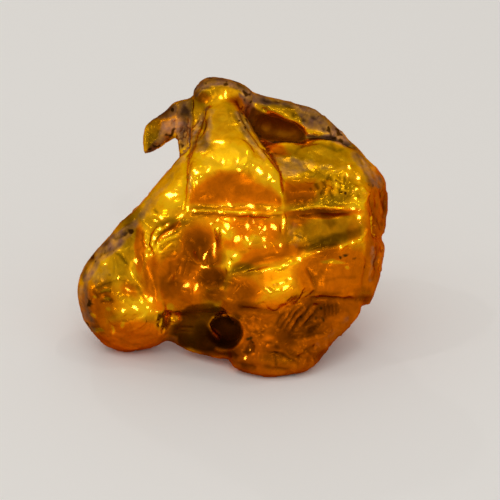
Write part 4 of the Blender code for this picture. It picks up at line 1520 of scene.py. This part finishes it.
# %% Mauve film
LEDGE = [
    (266, 108), (276, 106), (290, 110), (300, 118), (304, 128), (328, 133), (320, 136), (303, 133),
    (292, 122), (278, 118),
]
FILM_SIZE, FILM_HEIGHT = 5.0, 12
lumps = 2.2 * noise_at(clay.place, FILM_SIZE, 45.0)
hidden_film = np.clip(lumps + 0.05 * (clay.place[:, 2] - FILM_HEIGHT), 0, 0.9) * unseen
film = layered(painted(FILM_PLACES), hidden_film) * (1 - 0.8 * field(LEDGE))
keep_on_skin("film", film * (0.85 + 0.3 * blotches))

# %% Hollows
# The pocket under the rim and the hollows beside the foot are painted dark: painted shade in the
# recesses.
HOLLOW_PLACES = [
    (0.9, field, [(252, 107), (262, 111), (271, 116.5), (285, 119.5), (295, 124), (302, 130),
         (307, 139), (300, 142.5), (285, 143), (270, 142), (258, 139), (252, 131), (249, 119)], 2),
    (0.85, field, [(162, 336), (171, 325), (181, 320), (182, 311), (186, 306), (197, 303), (212, 303),
         (221, 310), (213, 317), (209, 325), (214, 337), (221, 343), (212, 352), (196, 350),
         (178, 345), (177, 337), (168, 335)]),
    (1.0, field, [(212, 324), (214, 319), (222, 316), (230, 317), (240, 323), (243, 330), (242, 339),
         (236, 347), (226, 349), (214, 347), (221, 339), (217, 331)], 2),
]
keep_on_skin("hollow", painted(HOLLOW_PLACES))

# %% [markdown]
# Dirt sits in specks, from a fine noise that a coarser one gathers in groups. It
# stays mostly in the film, and a little in the other places that were seldom rubbed.

# %% Dirt
DIRT_PLACES = [
    (0.8, oval, (250, 346), (8, 8)),
    (0.6, oval, (340, 262), (26, 9)),
    (0.3, oval, (330, 190), (20, 14)),
    (0.3, oval, (314, 318), (26, 16)),
    (0.2, oval, (106, 304), (20, 24)),
]
specks = np.clip(noise_at(clay.place, 0.5, 31.0) + 0.9 * noise_at(clay.place, 1.7, 33.0) - 0.50, 0, 1) * 5
dirty_film = film * (0.8 - 0.7 * oval((298, 168), (28, 10)))
keep_on_skin("dirt", specks * layered(dirty_film, painted(DIRT_PLACES), 0.3 * unseen))

# %% Polish and tone
DARKEST, PALEST_TONE = -2.6, 0.7
keep_on_skin("bright", clay.bright)
# The tone is kept as a factor on the colour: painted light and shade.
keep_on_skin("tone", np.exp2(np.clip(clay.tone, DARKEST, PALEST_TONE)), 2.0)

# %% [markdown]
# ## Shader maths as Python
# Blender's shader editor joins small nodes for every sum. Here a small class wraps a
# socket, so that a sum is written as in Python and adds its Math node by itself.

# %% A socket that can be reckoned with
class Wire:
    """An output socket of a node. A sum with it adds a Math node to its graph."""

    def __init__(self, graph, socket):
        self.graph, self.socket = graph, socket

    def _math(self, operation, *values):
        return self.graph.node("ShaderNodeMath", {"operation": operation}, *values)[0]

    def __add__(self, other):
        return self._math("ADD", self, other)

    def __radd__(self, other):
        return self._math("ADD", other, self)

    def __sub__(self, other):
        return self._math("SUBTRACT", self, other)

    def __rsub__(self, other):
        return self._math("SUBTRACT", other, self)

    def __mul__(self, other):
        return self._math("MULTIPLY", self, other)

    def __rmul__(self, other):
        return self._math("MULTIPLY", other, self)


# %% A node tree
class Graph:
    """A node tree. Its one method adds a node: type, settings, then socket values."""

    def __init__(self, tree):
        self.tree = tree
        tree.nodes.clear()

    def node(self, kind, settings=None, *values, **named):
        made = self.tree.nodes.new(kind)
        for key, value in (settings or {}).items():
            setattr(made, key, value)
        sockets = [(made.inputs[i], v) for i, v in enumerate(values)]
        sockets += [(made.inputs[name.replace("_", " ")], v) for name, v in named.items()]
        for socket, value in sockets:
            if isinstance(value, Wire):
                self.tree.links.new(value.socket, socket)
            elif value is not None:
                socket.default_value = value
        return [Wire(self, out) for out in made.outputs]


# %% Clamping and blending
NUMBER_SOCKETS = [None] * 5


def clamped(wire):
    return wire.graph.node("ShaderNodeClamp", None, wire)[0]


def blended(graph, share, first, second):
    """A colour between two colours. The Mix node's sockets for numbers stay as they are."""
    return graph.node("ShaderNodeMix", {"data_type": "RGBA"}, share, *NUMBER_SOCKETS, first, second)[2]


# %% [markdown]
# ## Native gold
# Gold is a metal: it has no colour of its own under the shine, and its base colour
# tints what it mirrors. The values on the skin choose between yellow gold, deep orange,
# mauve film, hollows and dirt, and a tone darkens or brightens it; the deep orange, the
# hollows and the tone are painted light and shade. Noise in space keeps each of them from being flat.

# %% Colours of the gold
YELLOW = (0.84, 0.36, 0.003, 1)
PALE_YELLOW = (0.86, 0.43, 0.006, 1)
# Deep orange and the darker deep orange are painted shade on low and down-facing skin.
EMBER = (0.80, 0.18, 0.001, 1)
DEEP_EMBER = (0.43, 0.080, 0.001, 1)
FILM = (0.34, 0.15, 0.048, 1)
MAUVE = (0.29, 0.13, 0.065, 1)
# Painted shade in the hollows.
HOLLOW = (0.14, 0.032, 0.0005, 1)
DIRT = (0.09, 0.032, 0.003, 1)
# Fresh gold: a painted highlight on the flats that mirror a lamp, and wear on rubbed crests.
FRESH_AND_HIGHLIGHT = (0.92, 0.32, 0.022, 1)
PALEST = (0.97, 0.52, 0.20)
EDGE_TINT = (0.80, 0.42, 0.20, 1)

# %% Layers of colour
def value_of(graph, name):
    """A value that the painting cells have kept on the skin."""
    return graph.node("ShaderNodeAttribute", {"attribute_name": name})[2]


def patchy(amount, grain, contrast, ragged, less):
    """A share from 0 to 1 whose edge is made ragged by a grain."""
    return clamped(amount * contrast + (grain - 0.5) * ragged - less)


def gold_colour(g, place, small, heat, film, hollow, dirt):
    """The layers of colour, from the yellow gold at the bottom to the dirt on top."""
    yellow = blended(g, clamped(small * 2.6 - 0.9), YELLOW, PALE_YELLOW)
    mauve = blended(g, clamped(small * 3.0 - 1.0), FILM, MAUVE)
    colour = blended(g, clamped(heat * 2.0), yellow, EMBER)
    colour = blended(g, clamped(heat * 2.0 - 1.0), colour, DEEP_EMBER)
    colour = blended(g, film, colour, mauve)
    colour = blended(g, hollow, colour, HOLLOW)
    colour = blended(g, dirt, colour, DIRT)
    streaks = g.node("ShaderNodeTexNoise", None, Vector=place, Scale=700.0, Detail=5.0, Distortion=2.2)[0]
    # The tone, painted light and shade, scales the colour, broken up by fine streaks.
    shade = value_of(g, "tone") * (0.62 + 0.76 * streaks)
    colour = g.node("ShaderNodeVectorMath", {"operation": "SCALE"}, colour, Scale=shade)[0]
    return g.node("ShaderNodeVectorMath", {"operation": "MINIMUM"}, colour, PALEST)[0]


# %% The gold
POLISH = 0.24
HEAT_BLOTCHES = 0.7
RELIEF_DEPTH = 0.06


def native_gold():
    material = bpy.data.materials.new("native_gold")
    material.use_nodes = True
    g = Graph(material.node_tree)
    place = g.node("ShaderNodeTexCoord")[3]

    def rough_noise(scale, detail=3.0):
        return g.node("ShaderNodeTexNoise", None, Vector=place, Scale=scale, Detail=detail)[0]

    broad, small, grainy = rough_noise(330.0), rough_noise(1100.0), rough_noise(4200.0, 4.0)
    heat = value_of(g, "ember")
    heat = heat + (broad - 0.5) * HEAT_BLOTCHES * heat
    film = patchy(value_of(g, "film"), small, 1.5, 1.4, 0.35)
    hollow = clamped(value_of(g, "hollow"))
    dirt = patchy(value_of(g, "dirt"), grainy, 1.4, 0.8, 0.2)
    bright = value_of(g, "bright")
    colour = gold_colour(g, place, small, heat, film, hollow, dirt)
    # The fresh colour is a painted highlight on the flats that mirror a lamp, and wear on the crests.
    colour = blended(g, clamped(bright * 1.5 - 0.5), colour, FRESH_AND_HIGHLIGHT)
    roughness = (
        POLISH + 0.08 * clamped(heat) + 0.10 * (small - 0.5) + 0.22 * film + 0.40 * hollow + 0.25 * dirt
        - 0.10 * bright
    )
    height = (0.7 * small + 0.3 * grainy) * (1.0 - bright)
    relief = g.node("ShaderNodeBump", None, Strength=0.18, Distance=RELIEF_DEPTH * MM, Height=height)[0]
    shader = g.node(
        "ShaderNodeBsdfPrincipled", None, Base_Color=colour, Metallic=1.0, Roughness=roughness,
        Normal=relief, Specular_Tint=EDGE_TINT,
    )[0]
    g.node("ShaderNodeOutputMaterial", None, shader)
    return material


nugget.data.materials.clear()
nugget.data.materials.append(native_gold())
print("native gold made")

# %% [markdown]
# ## Table and light
# Polished metal shows its surroundings more than itself. A pale table fills the
# faces that look down, a large soft light overhead fills those that look up, and the
# dim side behind the eye leaves the upright faces dark. A few small lights make the
# flashes on the hammered ridges.

# %% The table
TABLE_SIZE = 1.5
TABLE_COLOUR = (0.90, 0.885, 0.86, 1)
TABLE_ROUGHNESS = 0.7


def pale_table():
    mesh = bpy.data.meshes.new("table")
    form = bmesh.new()
    bmesh.ops.create_grid(form, x_segments=1, y_segments=1, size=TABLE_SIZE)
    form.to_mesh(mesh)
    form.free()
    table = bpy.data.objects.new("table", mesh)
    bpy.context.scene.collection.objects.link(table)
    material = bpy.data.materials.new("pale_table")
    material.use_nodes = True
    g = Graph(material.node_tree)
    shader = g.node(
        "ShaderNodeBsdfPrincipled", None, Base_Color=TABLE_COLOUR, Roughness=TABLE_ROUGHNESS
    )[0]
    g.node("ShaderNodeOutputMaterial", None, shader)
    mesh.materials.append(material)
    return table


table = pale_table()
print("table laid")

# %% The room
ROOM_COLOUR = (1.0, 0.97, 0.93, 1)


def dim_room():
    """A room with soft patches of light, a little darker in front and lighter above."""
    world = bpy.data.worlds.new("room")
    bpy.context.scene.world = world
    world.use_nodes = True
    g = Graph(world.node_tree)
    way = g.node("ShaderNodeTexCoord")[0]
    _, y, z = g.node("ShaderNodeSeparateXYZ", None, way)
    front = clamped(-1.2 * y)
    high = clamped(1.4 * z - 0.2)
    patches = g.node("ShaderNodeTexNoise", None, Vector=way, Scale=3.0, Detail=1.0, Distortion=0.6)[0]
    light = (0.60 - 0.10 * front + 0.10 * high) * (0.55 + 0.90 * patches)
    background = g.node("ShaderNodeBackground", None, Color=ROOM_COLOUR, Strength=light)[0]
    g.node("ShaderNodeOutputWorld", None, background)


dim_room()
print("room lit")

# %% The lights
OVERHEAD_REACH = 450
OVERHEAD_SIZE, OVERHEAD_GLOW = 240, 0.7
SPARK_SIZE, SPARK_GLOW = 10, 150


def soft_light(name, place, size, glow):
    """A square light that faces the nugget. Glow is how bright its surface looks."""
    lamp = bpy.data.lights.new(name, "AREA")
    lamp.shape, lamp.size = "SQUARE", size * MM
    lamp.energy = glow * math.pi * (size * MM) ** 2
    thing = bpy.data.objects.new(name, lamp)
    bpy.context.scene.collection.objects.link(thing)
    thing.location = Vector(place) * MM
    thing.rotation_mode = "QUATERNION"
    thing.rotation_quaternion = Vector(FACE - place).to_track_quat("-Z", "Y")


soft_light("overhead", FACE + OVERHEAD_REACH * toward(0, 64), OVERHEAD_SIZE, OVERHEAD_GLOW)
for name, place in SPARKS.items():
    soft_light(name, place, SPARK_SIZE, SPARK_GLOW)
print(1 + len(SPARKS), "lights")

# %% The camera
NEAREST, FARTHEST = 0.01, 10


def eye():
    data = bpy.data.cameras.new("eye")
    data.lens, data.sensor_width = LENS, SENSOR
    data.clip_start, data.clip_end = NEAREST, FARTHEST
    camera = bpy.data.objects.new("eye", data)
    bpy.context.scene.collection.objects.link(camera)
    camera.location = Vector(AIM + OUT * DISTANCE) * MM
    camera.rotation_mode = "QUATERNION"
    camera.rotation_quaternion = Vector(-OUT).to_track_quat("-Z", "Y")
    bpy.context.scene.camera = camera


eye()
bpy.context.scene.view_settings.view_transform = "Standard"
print("camera placed")

# %% [markdown]
# ## A little glow
# A strong flash spreads a warm halo in a real lens. The compositor's Glare node adds
# one round everything that is brighter than white.

# %% A little glow round the flashes
GLOW_TINT = (1.0, 0.62, 0.18, 1)


def glow():
    scene = bpy.context.scene
    scene.use_nodes = True
    g = Graph(scene.node_tree)
    picture = g.node("CompositorNodeRLayers")[0]
    glare = g.node(
        "CompositorNodeGlare", {"glare_type": "BLOOM"},
        Image=picture, Threshold=1.5, Clamp=True, Maximum=8.0, Strength=0.9, Size=0.4, Tint=GLOW_TINT,
    )[0]
    g.node("CompositorNodeComposite", None, glare)


glow()
print("glow added")
